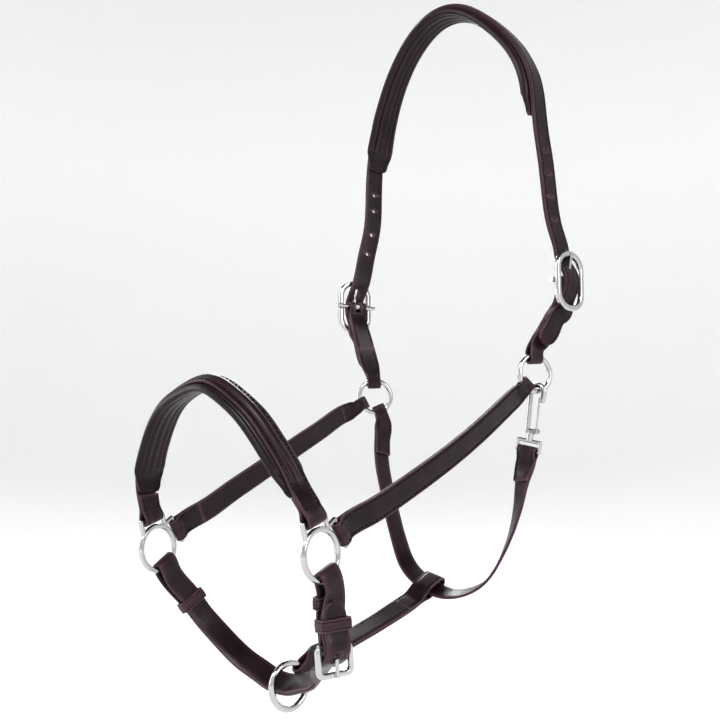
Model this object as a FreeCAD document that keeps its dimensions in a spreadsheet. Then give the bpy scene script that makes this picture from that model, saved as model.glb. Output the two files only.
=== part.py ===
"""Leather headcollar for a horse, with its crown, noseband, throat strap and snap.

Millimetres, +Z up. The horse faces -Y and its near (left) side is +X. The origin is on the
underside of the crown pad, where it rests on the poll.
"""
import FreeCAD
import Part

import math
import os

from FreeCAD import Placement, Rotation, Vector

doc = FreeCAD.newDocument("headcollar")
sheet = doc.addObject("Spreadsheet::Sheet", "Sizes")

# Driving sizes: word, millimetres, what it is.
SIZES = [
    ("strap_width", 17.0, "width of every strap"),
    ("fold_width", 12.0, "width of a strap where it turns inside a round ring"),
    ("twin_layer", 1.75, "each layer of the two-layer straps"),
    ("single_layer", 2.2, "a strap of one layer"),
    ("layer_gap", 0.12, "air between two layers"),
    ("wire_gap", 0.45, "air between a fold and the metal in it"),
    ("crown_pad_width", 28.5, "crown pad across the strap"),
    ("crown_pad_thick", 8.0, "crown pad thickness"),
    ("nose_pad_width", 27.0, "noseband pad across the strap"),
    ("nose_pad_thick", 6.6, "noseband pad thickness"),
    ("ridge_width", 8.0, "raised ridge of the noseband"),
    ("ridge_height", 2.2, "raised ridge of the noseband"),
    ("upper_ring_radius", 14.75, "cheek ring, centre of its wire"),
    ("upper_ring_wire", 2.25, "cheek ring, radius of its wire"),
    ("lead_ring_radius", 15.6, "lead ring, centre of its wire"),
    ("lead_ring_wire", 2.4, "lead ring, radius of its wire"),
    ("side_ring_radius", 16.0, "side fitting, centre of its ring's wire"),
    ("side_ring_wire", 2.0, "side fitting, radius of its wire"),
    ("slot_reach", 23.0, "side fitting, slot bar from the ring's centre"),
    ("slot_half", 10.7, "side fitting, half the length of a slot bar"),
    ("slot_bar", 1.7, "side fitting, radius of a slot bar"),
    ("frame_width", 33.5, "crown buckle frame"),
    ("frame_height", 51.0, "crown buckle frame"),
    ("frame_corner", 15.0, "crown buckle frame, outer corner radius"),
    ("frame_band", 5.0, "crown buckle frame, width and depth of its wire"),
    ("frame_round", 1.9, "crown buckle frame, rounding of its wire"),
    ("bar_radius", 2.2, "crown buckle bar"),
    ("bar_depth", 1.5, "crown buckle bar, below the back of the frame"),
    ("bar_length", 37.0, "crown buckle bar"),
    ("chin_frame_width", 27.0, "chin buckle frame"),
    ("chin_frame_height", 21.0, "chin buckle frame"),
    ("chin_frame_corner", 5.0, "chin buckle frame, outer corner radius"),
    ("chin_frame_band", 3.6, "chin buckle frame, width and depth of its wire"),
    ("chin_frame_round", 1.3, "chin buckle frame, rounding of its wire"),
    ("chin_bar_radius", 2.1, "chin buckle bar"),
    ("chin_bar_length", 22.0, "chin buckle bar"),
    ("tongue_radius", 1.25, "buckle tongue"),
    ("tongue_wall", 1.2, "wall of the tongue's eye"),
    ("tongue_eye_width", 4.2, "length of the tongue's eye along the bar"),
    ("pivot_gap", 0.08, "running clearance of a pivot"),
    ("keeper_wall", 1.8, "leather keeper"),
    ("keeper_length", 8.0, "leather keeper along the strap"),
    ("snap_wire", 2.2, "snap hook, radius of its wire"),
    ("snap_arch", 6.1, "snap hook, radius of its arch"),
    ("snap_reach", 48.2, "snap hook, centre of its arch above its eye bar"),
    ("eye_half", 10.4, "snap eye, half its width"),
    ("eye_height", 8.0, "snap eye, bar to bar"),
    ("eye_wire", 1.6, "snap eye, radius of its wire"),
    ("gate_radius", 1.0, "snap gate"),
    ("hole_radius", 1.9, "buckle hole"),
]
for row, (alias, value, meaning) in enumerate(SIZES, start=1):
    sheet.set(f"A{row}", alias)
    sheet.set(f"B{row}", str(value))
    sheet.set(f"C{row}", meaning)
    sheet.setAlias(f"B{row}", alias)
doc.recompute()


def size(alias):
    """A driving size as a plain number."""
    return float(sheet.get(alias))


SUBPARTS = []
WIDTH = size("strap_width")
TWIN = size("twin_layer")
SINGLE = size("single_layer")
GAP = size("layer_gap")


# ---------------------------------------------------------------- vectors and frames
def unit(vector):
    """The vector at length one."""
    return vector / vector.Length


def square_to(vector, direction):
    """The part of a vector that is square to a direction, at length one."""
    return unit(vector - direction * vector.dot(direction))


def frame(origin, across, outward):
    """Placement with X along across and Z outward."""
    z_axis = unit(outward)
    x_axis = square_to(across, z_axis)
    return Placement(origin, Rotation(x_axis, z_axis.cross(x_axis), z_axis, "ZXY"))


def place(placement, x=0.0, y=0.0, z=0.0):
    """A local point in the object's frame."""
    return placement.multVec(Vector(x, y, z))


def turn(placement, x=0.0, y=0.0, z=0.0):
    """A local direction in the object's frame."""
    return placement.Rotation.multVec(Vector(x, y, z))


def smoothstep(value):
    """A soft ramp from 0 to 1."""
    value = min(max(value, 0.0), 1.0)
    return value * value * (3.0 - 2.0 * value)


# ---------------------------------------------------------------- strap routes
class Station:
    """One place along a strap: point, direction, side, outward normal, distance, width."""

    def __init__(self, point, side, distance=0.0, width=WIDTH):
        self.point = point
        self.side = side
        self.distance = distance
        self.width = width
        self.along = None
        self.out = None


def orient(stations):
    """Work out each station's direction and normal from its neighbours."""
    last = len(stations) - 1
    for index, here in enumerate(stations):
        before = stations[max(index - 1, 0)]
        after = stations[min(index + 1, last)]
        here.along = unit(after.point - before.point)
        here.side = square_to(here.side, here.along)
        here.out = here.along.cross(here.side)
    return stations


def route(controls, step=7.0):
    """Evenly spaced stations on a smooth line through (point, side) pairs."""
    points = [Vector(*point) for point, side in controls]
    sides = [unit(Vector(*side)) for point, side in controls]
    reach = [0.0]
    for start, end in zip(points, points[1:]):
        reach.append(reach[-1] + (end - start).Length)
    curve = Part.BSplineCurve()
    curve.interpolate(Points=points, Parameters=reach)
    count = max(int(round(reach[-1] / step)), 4)
    stations = []
    for index in range(count + 1):
        at = reach[-1] * index / count
        low = max(k for k in range(len(reach) - 1) if reach[k] <= at + 1e-6)
        share = smoothstep((at - reach[low]) / (reach[low + 1] - reach[low]))
        side = sides[low] * (1.0 - share) + sides[low + 1] * share
        stations.append(Station(curve.value(at), unit(side)))
    for before, after in zip(stations, stations[1:]):
        after.distance = before.distance + (after.point - before.point).Length
    return orient(stations)


def strip(stations, thick):
    """Solid strip through the stations, thick in all."""
    stations = orient(stations)
    reach = [0.0]
    for before, after in zip(stations, stations[1:]):
        reach.append(reach[-1] + (after.point - before.point).Length)
    corners = []
    for side_sign, out_sign in ((1, 1), (-1, 1), (-1, -1), (1, -1)):
        corners.append([
            here.point + here.side * (side_sign * here.width / 2) + here.out * (out_sign * thick / 2)
            for here in stations
        ])
    curves = []
    for points in corners:
        curve = Part.BSplineCurve()
        curve.interpolate(Points=points, Parameters=reach)
        curves.append(curve)
    faces = [skin(curves[k], curves[(k + 1) % 4]) for k in range(4)]
    for end in (0, -1):
        loop = [points[end] for points in corners]
        faces.append(Part.Face(Part.makePolygon(loop + loop[:1])))
    shell = Part.makeShell(faces)
    shell.sewShape()
    solid = Part.Solid(shell)
    if solid.Volume < 0:
        solid.reverse()
    return solid


def skin(first, second):
    """The face ruled straight across between two edge curves."""
    surface = Part.BSplineSurface()
    surface.buildFromPolesMultsKnots(
        [first.getPoles(), second.getPoles()], [2, 2], first.getMultiplicities(),
        [0.0, 1.0], first.getKnots(), False, False, 1, first.Degree)
    return surface.toShape()


def offset(stations, out, start=None, end=None, width=None):
    """A copy of the stations moved outward, between two distances."""
    length = stations[-1].distance
    start = 0.0 if start is None else start
    end = length if end is None else end
    kept = [at(stations, start)]
    kept += [here for here in stations if start + 2.0 < here.distance < end - 2.0]
    kept.append(at(stations, end))
    moved = []
    for here in kept:
        point = here.point + here.out * out
        moved.append(Station(point, here.side, here.distance, here.width if width is None else width))
    return orient(moved)


def at(stations, distance):
    """The station at a distance along the route."""
    for before, after in zip(stations, stations[1:]):
        if after.distance >= distance - 1e-6:
            share = (distance - before.distance) / (after.distance - before.distance)
            here = Station(before.point + (after.point - before.point) * share,
                           unit(before.side * (1 - share) + after.side * share), distance,
                           before.width + (after.width - before.width) * share)
            here.along = unit(before.along * (1 - share) + after.along * share)
            here.out = unit(before.out * (1 - share) + after.out * share)
            return here
    return stations[-1]


def pointed(stations, length=11.0, tip=3.0, from_start=False):
    """Taper the last stretch of a strip to a rounded tip."""
    ends = stations[::-1] if from_start else stations
    total = abs(ends[-1].distance - ends[0].distance)
    more = []
    for share in (0.0, 0.3, 0.55, 0.75, 0.9, 1.0):
        distance = ends[0].distance + (ends[-1].distance - ends[0].distance) * (
            (total - length + length * share) / total)
        ordered = sorted(ends, key=lambda here: here.distance)
        here = at(ordered, distance)
        here.width = tip + (WIDTH - tip) * math.sqrt(max(1.0 - share * share, 0.0))
        more.append(here)
    limit = total - length - 1.0
    kept = [here for here in ends if abs(here.distance - ends[0].distance) < limit]
    result = kept + more
    return result[::-1] if from_start else result


def folded(middle, thick, first=None, last=None, back=(24.0, 24.0), narrow=None, gap=GAP):
    """Stations of a strap that turns round a wire at one or both ends and comes back inside.

    first and last are (wire radius with clearance, straight reach past the wire).
    """
    length = middle[-1].distance
    rest = (thick + gap) / 2

    def spread(distance):
        value = rest
        for fold, along in ((first, distance), (last, length - distance)):
            if fold:
                radius = fold[0] + thick / 2
                share = smoothstep((along - fold[1]) / (2.4 * radius))
                value = max(value, radius + (rest - radius) * share)
        return value

    def breadth(distance):
        value = WIDTH
        for fold, along, slim in ((first, distance, narrow and narrow[0]),
                                  (last, length - distance, narrow and narrow[1])):
            if fold and slim:
                value = min(value, slim + (WIDTH - slim) * smoothstep((along - 4.0) / 16.0))
        return value

    def run(start, end):
        """Stations between two distances, close together near a fold."""
        marks = []
        distance = start
        sign = 1 if end > start else -1
        while (end - distance) * sign > 1.0:
            marks.append(distance)
            near = min(distance if first else 99.0, length - distance if last else 99.0)
            distance += sign * (2.0 if near < 16.0 else 7.0)
        marks.append(end)
        return marks

    stations = []

    def leg(start, end, out_sign):
        for distance in run(start, end):
            here = at(middle, distance)
            stations.append(Station(here.point + here.out * (out_sign * spread(distance)),
                                    here.side, 0.0, breadth(distance)))

    def arc(fold, end, sign):
        here = middle[-1] if end else middle[0]
        past = here.along if end else here.along * -1.0
        radius = fold[0] + thick / 2
        for degrees in (-72, -48, -24, 0, 24, 48, 72):
            angle = math.radians(degrees) * sign
            stations.append(Station(
                here.point + past * (radius * math.cos(angle)) + here.out * (radius * math.sin(angle)),
                here.side, 0.0, breadth(length if end else 0.0)))

    if first:
        leg(min(back[0], length), 0.0, -1)
        arc(first, False, 1)
    leg(0.0, length, 1)
    if last:
        arc(last, True, -1)
        leg(length, max(length - back[1], 0.0), -1)
    for before, after in zip(stations, stations[1:]):
        after.distance = before.distance + (after.point - before.point).Length
    return stations


# ---------------------------------------------------------------- sub-parts
def keep(obj, label, placement=None):
    """Name a sub-part and put it in its place."""
    obj.Label = label
    if placement is not None:
        obj.Placement = placement
    SUBPARTS.append(obj)
    return obj


def leather(label, shape):
    """A strap or pad as a sub-part."""
    obj = doc.addObject("Part::Feature", label)
    obj.Shape = shape
    return keep(obj, label)


def cutter(placement, length, width, height, x=0.0, y=0.0, z=0.0):
    """A box, centred on a local point, as a cutting tool."""
    box = Part.makeBox(length, width, height, Vector(x - length / 2, y - width / 2, z - height / 2))
    box.Placement = placement
    return box


def hole(placement, radius, height, x=0.0, y=0.0, z=0.0):
    """A round hole's cutting tool along local Z."""
    tool = Part.makeCylinder(radius, height, Vector(x, y, z - height / 2), Vector(0, 0, 1))
    tool.Placement = placement
    return tool


def primitive(kind, name, sizes, base=Vector(), direction=Vector(0, 0, 1)):
    """A Part primitive bound to the sheet, turned so its Z axis lies along direction."""
    obj = doc.addObject(f"Part::{kind}", name)
    for prop, expression in sizes.items():
        obj.setExpression(prop, expression)
    obj.Placement = Placement(base, Rotation(Vector(0, 0, 1), direction))
    return obj


def rod(name, start, end, radius):
    """A round bar between two local points."""
    obj = primitive("Cylinder", name, {"Radius": radius}, start, end - start)
    obj.Height = (end - start).Length
    return obj


def ball(name, centre, radius):
    """A round corner between two bars."""
    return primitive("Sphere", name, {"Radius": radius}, centre)


def fuse(label, pieces, placement):
    """One casting from its pieces."""
    obj = doc.addObject("Part::MultiFuse", label)
    obj.Shapes = pieces
    return keep(obj, label, placement)


def ring(label, placement, radius, wire):
    """A round ring."""
    obj = doc.addObject("Part::Torus", label)
    obj.setExpression("Radius1", f"Sizes.{radius}")
    obj.setExpression("Radius2", f"Sizes.{wire}")
    return keep(obj, label, placement)


def outline(sketch, width, height, radius, centre=0.0):
    """A closed rounded rectangle about (0, centre)."""
    half_w = width / 2
    half_h = height / 2
    radius = min(radius, half_w - 0.01, half_h - 0.01)
    corners = (
        (half_w - radius, half_h - radius, 0.0),
        (radius - half_w, half_h - radius, 90.0),
        (radius - half_w, radius - half_h, 180.0),
        (half_w - radius, radius - half_h, 270.0),
    )
    arcs = []
    for x, y, start in corners:
        circle = Part.Circle(Vector(x, y + centre, 0), Vector(0, 0, 1), radius)
        arcs.append(Part.ArcOfCircle(circle, math.radians(start), math.radians(start + 90)))
    for k, arc in enumerate(arcs):
        sketch.addGeometry(arc, False)
        following = arcs[(k + 1) % 4]
        sketch.addGeometry(Part.LineSegment(arc.EndPoint, following.StartPoint), False)


def new_body(label):
    """An empty PartDesign body."""
    body = doc.addObject("PartDesign::Body", label)
    body.Label = label
    return body


def body_rod(body, name, kind, start, end, radius):
    """A round bar added to or cut from a body."""
    obj = body.newObject(f"PartDesign::{kind}Cylinder", name)
    obj.setExpression("Radius", radius)
    obj.Height = (end - start).Length
    obj.Placement = Placement(start, Rotation(Vector(0, 0, 1), end - start))
    return obj


def buckle(label, placement, prefix, bar_x, bar_z, bar_prefix, centre, notch):
    """A buckle: a rounded frame, its bar, and a notch for the tongue at one end."""
    body = new_body(label)
    sketch = body.newObject("Sketcher::SketchObject", label + "_outline")
    plane = [f for f in body.Origin.OriginFeatures if f.Role == "XY_Plane"][0]
    sketch.AttachmentSupport = [(plane, "")]
    sketch.MapMode = "FlatFace"
    width = size(prefix + "_width")
    height = size(prefix + "_height")
    corner = size(prefix + "_corner")
    band = size(prefix + "_band")
    outline(sketch, width, height, corner, centre)
    outline(sketch, width - 2 * band, height - 2 * band, corner - band + 0.6, centre)
    pad = body.newObject("PartDesign::Pad", label + "_frame")
    pad.Profile = sketch
    pad.setExpression("Length", f"Sizes.{prefix}_band")
    doc.recompute()
    rounding = body.newObject("PartDesign::Fillet", label + "_rounding")
    rounding.Base = (pad, [f"Edge{k + 1}" for k, edge in enumerate(pad.Shape.Edges)
                           if abs(edge.BoundBox.ZLength) < 1e-6])
    rounding.setExpression("Radius", f"Sizes.{prefix}_round")
    doc.recompute()
    half = size(bar_prefix + "_length") / 2
    body_rod(body, label + "_bar", "Additive", Vector(-half, bar_x, bar_z),
             Vector(half, bar_x, bar_z), f"Sizes.{bar_prefix}_radius")
    doc.recompute()
    before = body.Shape.Volume
    body_rod(body, label + "_notch", "Subtractive", Vector(0, notch[0] - 4, notch[1]),
             Vector(0, notch[0] + 4, notch[1]), "Sizes.tongue_radius + 0.5")
    doc.recompute()
    if body.Shape.Volume >= before:
        raise RuntimeError(label + ": the notch cuts nothing")
    return keep(body, label, placement)


def tongue(label, placement, bar_radius, reach, rise):
    """A tongue: an eye that turns on the bar and a pin out to the frame's notch."""
    body = new_body(label)
    half = size("tongue_eye_width") / 2
    outer = f"Sizes.{bar_radius} + Sizes.pivot_gap + Sizes.tongue_wall"
    body_rod(body, label + "_eye", "Additive", Vector(-half, 0, 0), Vector(half, 0, 0), outer)
    start = Vector(0, 0.6, size(bar_radius) + 0.45)
    end = Vector(0, reach, rise)
    body_rod(body, label + "_pin", "Additive", start, end, "Sizes.tongue_radius")
    body_rod(body, label + "_bore", "Subtractive", Vector(-half - 1, 0, 0), Vector(half + 1, 0, 0),
             f"Sizes.{bar_radius} + Sizes.pivot_gap")
    doc.recompute()
    return keep(body, label, placement)


def keeper(label, placement, inner_x, inner_z):
    """A leather loop round the straps at a place, its length along local Y."""
    wall = size("keeper_wall")
    outer = doc.addObject("Part::Box", label + "_outer")
    outer.setExpression("Width", "Sizes.keeper_length")
    outer.Length = inner_x + 2 * wall
    outer.Height = inner_z + 2 * wall
    inner = doc.addObject("Part::Box", label + "_inner")
    inner.setExpression("Width", "Sizes.keeper_length + 2")
    inner.Length = inner_x
    inner.Height = inner_z
    long = size("keeper_length")
    outer.Placement.Base = Vector(-inner_x / 2 - wall, -long / 2, -inner_z / 2 - wall)
    inner.Placement.Base = Vector(-inner_x / 2, -long / 2 - 1, -inner_z / 2)
    obj = doc.addObject("Part::Cut", label)
    obj.Base = outer
    obj.Tool = inner
    return keep(obj, label, placement)


# ---------------------------------------------------------------- where things are
UP = Vector(0, 0, 1)


def ring_frame(centre, outward):
    """A ring's frame: Z outward, Y up, X rearward on the near side."""
    outward = unit(outward)
    return Placement(centre, Rotation(UP.cross(outward), UP, outward, "ZXY"))


def around(placement, degrees, radius, rear):
    """Point and tangent on a ring, degrees from its top towards the rear."""
    angle = math.radians(degrees)
    direction = turn(placement, math.sin(angle) * rear, math.cos(angle), 0)
    tangent = turn(placement, math.cos(angle) * rear, -math.sin(angle), 0)
    return placement.Base + direction * radius, direction, tangent


NEAR_RING = ring_frame(Vector(86.0, -4.2, -340.0), Vector(0.92, -0.39, 0))
FAR_RING = ring_frame(Vector(-86.0, -6.7, -346.7), Vector(-0.72, 0.69, 0))
NEAR_SIDE = ring_frame(Vector(83.0, -251.5, -478.0), Vector(1, 0.05, 0))
FAR_SIDE = ring_frame(Vector(-83.0, -251.5, -478.0), Vector(-1, -0.12, 0))
NEAR_BUCKLE = frame(Vector(104.0, 20.8, -261.3), Vector(0.174, 0.985, 0), Vector(0.985, -0.174, -0.01))
FAR_BUCKLE = frame(Vector(-104.0, -13.6, -260.2), Vector(-0.375, -0.927, 0), Vector(-0.927, 0.375, 0))
LEAD_CENTRE = Vector(0, -197.2, -572.6)
LEAD_RING = frame(LEAD_CENTRE, Vector(0.08, 1, 0), Vector(1, -0.08, 0))

RING_RADIUS = size("upper_ring_radius")
RING_WIRE = size("upper_ring_wire")
FOLD_IN = 2.1  # a fold's centre lies this far inside the ring's wire, which curves away
RING_FOLD = (RING_WIRE + size("wire_gap"), FOLD_IN + RING_WIRE + 0.3)
BAR_FOLD = (size("bar_radius") + 0.15, 0.6)
SLOT_FOLD = (size("slot_bar") + 0.35, 1.0)

# Buckle holes of the crown strap, as heights.
NEAR_HOLES = (-147.5, -167.5, -187.5, -207.5)
FAR_HOLES = (-147.5, -165.5, -187.5, -207.5)


def tuples(*vectors):
    """Vectors as plain tuples for a route."""
    return tuple((v.x, v.y, v.z) for v in vectors)


def buckle_pass(placement, lean):
    """The crown strap's way down through its buckle, leaning sideways at the top."""
    points = []
    for across, along, out in ((lean, 25, -3.7), (0.7 * lean, 20, -3.3), (0.3 * lean, 11, 1.5),
                               (0, 0, 5.1), (0, -11, 1.5), (0, -20, -2.4), (0, -25, -3.0)):
        points.append((tuples(place(placement, across, along, out))[0],
                       tuples(turn(placement, 1, 0, 0))[0]))
    return points


def buckle_chape(label, placement, ring_place, degrees, rear):
    """The chape: a strap round the buckle's bar and round the ring below it."""
    wire, pull, tangent = around(ring_place, degrees, RING_RADIUS - FOLD_IN, rear)
    side = tangent * rear
    bar_side = turn(placement, 1, 0, 0)
    if side.dot(bar_side) < 0:
        side = side * -1
    low = place(placement, 0, -20, -8.0)
    reach = wire + pull * 5 - low
    middle = route([
        tuples(place(placement, 0, 0, -1.5), bar_side * -1),
        tuples(place(placement, 0, -4, -2.4), bar_side * -1),
        tuples(place(placement, 0, -11, -4.3), bar_side * -1),
        tuples(low, bar_side * -1),
        tuples(low + reach * 0.35, bar_side * -0.8 - side * 0.2),
        tuples(low + reach * 0.7, bar_side * -0.4 - side * 0.6),
        tuples(wire + pull * 5, side * -1),
        tuples(wire, side * -1),
    ], 2.5)
    if middle[0].out.dot(turn(placement, 0, 0, 1)) < 0:
        for here in middle:
            here.side = here.side * -1
        orient(middle)
    half = middle[-1].distance * 0.55
    stations = folded(middle, SINGLE, BAR_FOLD, RING_FOLD, (half - 0.3, middle[-1].distance - half - 0.3),
                      (None, size("fold_width")))
    slot = cutter(placement, 5.0, 13.0, 14.0, 0, 0.5, -2)
    leather(label, strip(stations, SINGLE).cut(slot))
    return middle


NEAR_CHAPE = buckle_chape("near_buckle_chape", NEAR_BUCKLE, NEAR_RING, 0.0, 1)
FAR_CHAPE = buckle_chape("far_buckle_chape", FAR_BUCKLE, FAR_RING, -4.0, -1)


def tail(middle, placement, sign, start, end):
    """The crown strap's tail, lying on the chape below its buckle."""
    lift = SINGLE + GAP / 2 + 1.0 + TWIN + GAP / 2
    points = []
    for distance in start, (start + end) / 2, end:
        here = at(middle, distance)
        points.append(tuples(here.point + here.out * lift, here.side * sign))
    return points


# ---------------------------------------------------------------- crown
CROWN_NEAR = [
    ((98.0, 14.0, -215.0), (-0.17, -0.98, 0)),
    ((96.4, 10, -191.3), (-0.17, -0.98, 0)),
    ((95.2, 6, -154.1), (-0.17, -0.98, 0)),
    ((93.8, 3, -130.7), (-0.14, -0.99, 0)),
    ((93.2, 1, -108.0), (-0.1, -0.99, 0)),
    ((90.6, 0, -84.3), (-0.05, -1, 0)),
    ((83.2, 0, -64.1), (0, -1, 0)),
    ((73.3, 0, -46.8), (0, -1, 0)),
    ((58.4, 0, -28.1), (0, -1, 0)),
    ((37.3, 0, -7.6), (0, -1, 0)),
]
CROWN_FAR = [
    ((8.8, 0, 8.0), (0, -1, 0)),
    ((-17, 0, 8.0), (0, -1, 0)),
    ((-40.1, 0, -4.4), (0, -1, 0)),
    ((-57.6, 0, -23.2), (0, -1, 0)),
    ((-73.8, 1, -49.7), (-0.05, -1, 0)),
    ((-87.2, 3, -83.3), (-0.15, -0.98, 0)),
    ((-93.6, 4, -111.8), (-0.25, -0.97, 0)),
    ((-96.1, 4, -141.2), (-0.33, -0.94, 0)),
    ((-97.4, 2, -184.7), (-0.37, -0.93, 0)),
    ((-99.6, -3.5, -211.0), (-0.37, -0.93, 0)),
]
near_tail = tail(NEAR_CHAPE, NEAR_BUCKLE, 1, 30.0, 62.0)
far_tail = tail(FAR_CHAPE, FAR_BUCKLE, 1, 30.0, 62.0)


near_pass = buckle_pass(NEAR_BUCKLE, -1.5)
far_pass = buckle_pass(FAR_BUCKLE, -4.5)
crown_line = near_tail[::-1] + near_pass[::-1] + CROWN_NEAR + CROWN_FAR + far_pass + far_tail


def even_sides(points):
    """Give every side the sense of the one before it."""
    result = [points[0]]
    for point, side in points[1:]:
        before = Vector(*result[-1][1])
        result.append((point, side if before.dot(Vector(*side)) >= 0 else tuple(-c for c in side)))
    return result


CROWN = route(even_sides(crown_line), 4.0)
if at(CROWN, CROWN[-1].distance / 2).out.z < 0:
    for here in CROWN:
        here.side = here.side * -1
    orient(CROWN)


def place_on(stations, height, side_sign):
    """The frame on a route at a height, on the near (1) or far (-1) side."""
    best = min((here for here in stations if here.point.x * side_sign > 0),
               key=lambda here: abs(here.point.z - height))
    return Placement(best.point, Rotation(best.side, best.out.cross(best.side), best.out, "ZXY"))


def crown_cuts():
    """Buckle holes and the tongue's slots through both layers of the crown strap."""
    tools = []
    for heights, sign in ((NEAR_HOLES, 1), (FAR_HOLES, -1)):
        for height in heights:
            tools.append(hole(place_on(CROWN, height, sign), size("hole_radius"), 12))
    for placement in (NEAR_BUCKLE, FAR_BUCKLE):
        tools.append(cutter(placement, 3.8, 15.0, 14.0, 0, 9.6, 2.0))
    return tools


def crown_layer(label, out):
    """One full-length layer of the crown strap with its two rounded tails."""
    stations = pointed(pointed(offset(CROWN, out)), from_start=True)
    shape = strip(stations, TWIN)
    for tool in crown_cuts():
        shape = shape.cut(tool)
    leather(label, shape)


crown_layer("crown_strap", (TWIN + GAP) / 2)
crown_layer("crown_lining", -(TWIN + GAP) / 2)


def distance_at(stations, height, side_sign):
    """Distance along a route at a height on one side."""
    return min((here for here in stations if here.point.x * side_sign > 0),
               key=lambda here: abs(here.point.z - height)).distance


pad_drop = -(TWIN + GAP + size("crown_pad_thick") / 2 + GAP)
leather("crown_pad", strip(
    offset(CROWN, pad_drop, distance_at(CROWN, -117.5, 1), distance_at(CROWN, -125.5, -1),
           size("crown_pad_width")), size("crown_pad_thick")))

# ---------------------------------------------------------------- crown buckles
for side_name, placement in (("near", NEAR_BUCKLE), ("far", FAR_BUCKLE)):
    buckle(f"{side_name}_crown_buckle", placement, "frame", 0.0, -size("bar_depth"), "bar", 0.0,
           (23.0, size("frame_band") + 0.55))
    pivot = Placement(place(placement, 0, 0, -size("bar_depth")), placement.Rotation)
    tongue(f"{side_name}_crown_tongue", pivot, "bar_radius", 24.6, 7.35)

# ---------------------------------------------------------------- upper rings
ring("near_upper_ring", NEAR_RING, "upper_ring_radius", "upper_ring_wire")
ring("far_upper_ring", FAR_RING, "upper_ring_radius", "upper_ring_wire")


# ---------------------------------------------------------------- side fittings
def slot_bar(placement, degrees, rear):
    """A slot bar's centre, its direction from the ring and its own line."""
    return around(placement, degrees, size("slot_reach"), rear)


NOSE_SLOT = -18.0  # degrees from the top of the fitting, forward
CHEEK_SLOT = 55.0  # degrees from the top, rearward


def side_fitting(label, placement):
    """A flat ring with a slot for the noseband and one for the cheek strap, X rearward."""
    pieces = [primitive("Torus", label + "_ring",
                        {"Radius1": "Sizes.side_ring_radius", "Radius2": "Sizes.side_ring_wire"})]
    reach = size("slot_reach")
    half = size("slot_half")
    foot = math.sqrt(size("side_ring_radius") ** 2 - half ** 2)
    for number, degrees in enumerate((NOSE_SLOT, CHEEK_SLOT), start=1):
        angle = math.radians(degrees)
        out = Vector(math.sin(angle), math.cos(angle), 0)
        across = Vector(math.cos(angle), -math.sin(angle), 0)
        name = f"{label}_slot{number}"
        pieces.append(rod(name + "_bar", out * reach - across * half, out * reach + across * half,
                          "Sizes.slot_bar"))
        for sign in (-1, 1):
            corner = out * reach + across * (half * sign)
            tag = "a" if sign < 0 else "b"
            pieces.append(rod(name + "_post_" + tag, out * foot + across * (half * sign), corner,
                              "Sizes.slot_bar"))
            pieces.append(ball(name + "_corner_" + tag, corner, "Sizes.slot_bar"))
    fuse(label, pieces, placement)


side_fitting("near_side_fitting", NEAR_SIDE)
side_fitting("far_side_fitting", ring_frame(FAR_SIDE.Base, turn(FAR_SIDE, 0, 0, -1)))


# ---------------------------------------------------------------- cheek straps
def cheek(side_name, upper, lower, rear, degrees, between, side):
    """A two-layer cheek strap from an upper ring to a side fitting's rear slot."""
    wire, pull, tangent = around(upper, degrees, RING_RADIUS - FOLD_IN, rear)
    slot, out, line = slot_bar(lower, CHEEK_SLOT, rear)
    tangent = tangent if tangent.dot(Vector(*side)) > 0 else tangent * -1
    line = line if line.dot(Vector(*side)) > 0 else line * -1
    points = [tuples(wire, tangent), tuples(wire + pull * 5, tangent)]
    points += [(point, side) for point in between]
    points += [tuples(slot + out * 7, line), tuples(slot, line)]
    middle = route(points, 2.5)
    outward = 1 if rear == 1 else -1
    if middle[len(middle) // 2].out.x * outward < 0:
        for here in middle:
            here.side = here.side * -1
        orient(middle)
    stations = folded(middle, TWIN, (RING_FOLD[0], RING_FOLD[1]), SLOT_FOLD, (30.0, 24.0),
                      (size("fold_width") - 0.6, None))
    leather(f"{side_name}_cheek_strap", strip(stations, TWIN))
    inner = offset(middle, -(TWIN + GAP) / 2, 30.6, middle[-1].distance - 24.6)
    leather(f"{side_name}_cheek_lining", strip(inner, TWIN))
    return middle


NEAR_CHEEK = cheek("near", NEAR_RING, NEAR_SIDE, 1, -138.0,
                   [(82.6, -27.0, -360.0), (84.6, -43.6, -368.6), (86.6, -68, -382), (88, -95.3, -396.9),
                    (88.4, -143.2, -421.4), (86.6, -182.0, -440.4), (84.4, -210.0, -453.0)], (0, -0.485, 0.874))
FAR_CHEEK = cheek("far", FAR_RING, FAR_SIDE, -1, -119.0,
                  [(-97.4, -23.5, -358.4), (-95.4, -41, -364.8), (-91.5, -67, -377.3), (-88.5, -93.6, -390.4),
                   (-87, -150.0, -420.5), (-85.4, -184.0, -438.2), (-84.0, -210.0, -451.8)], (0, -0.485, 0.874))


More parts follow.
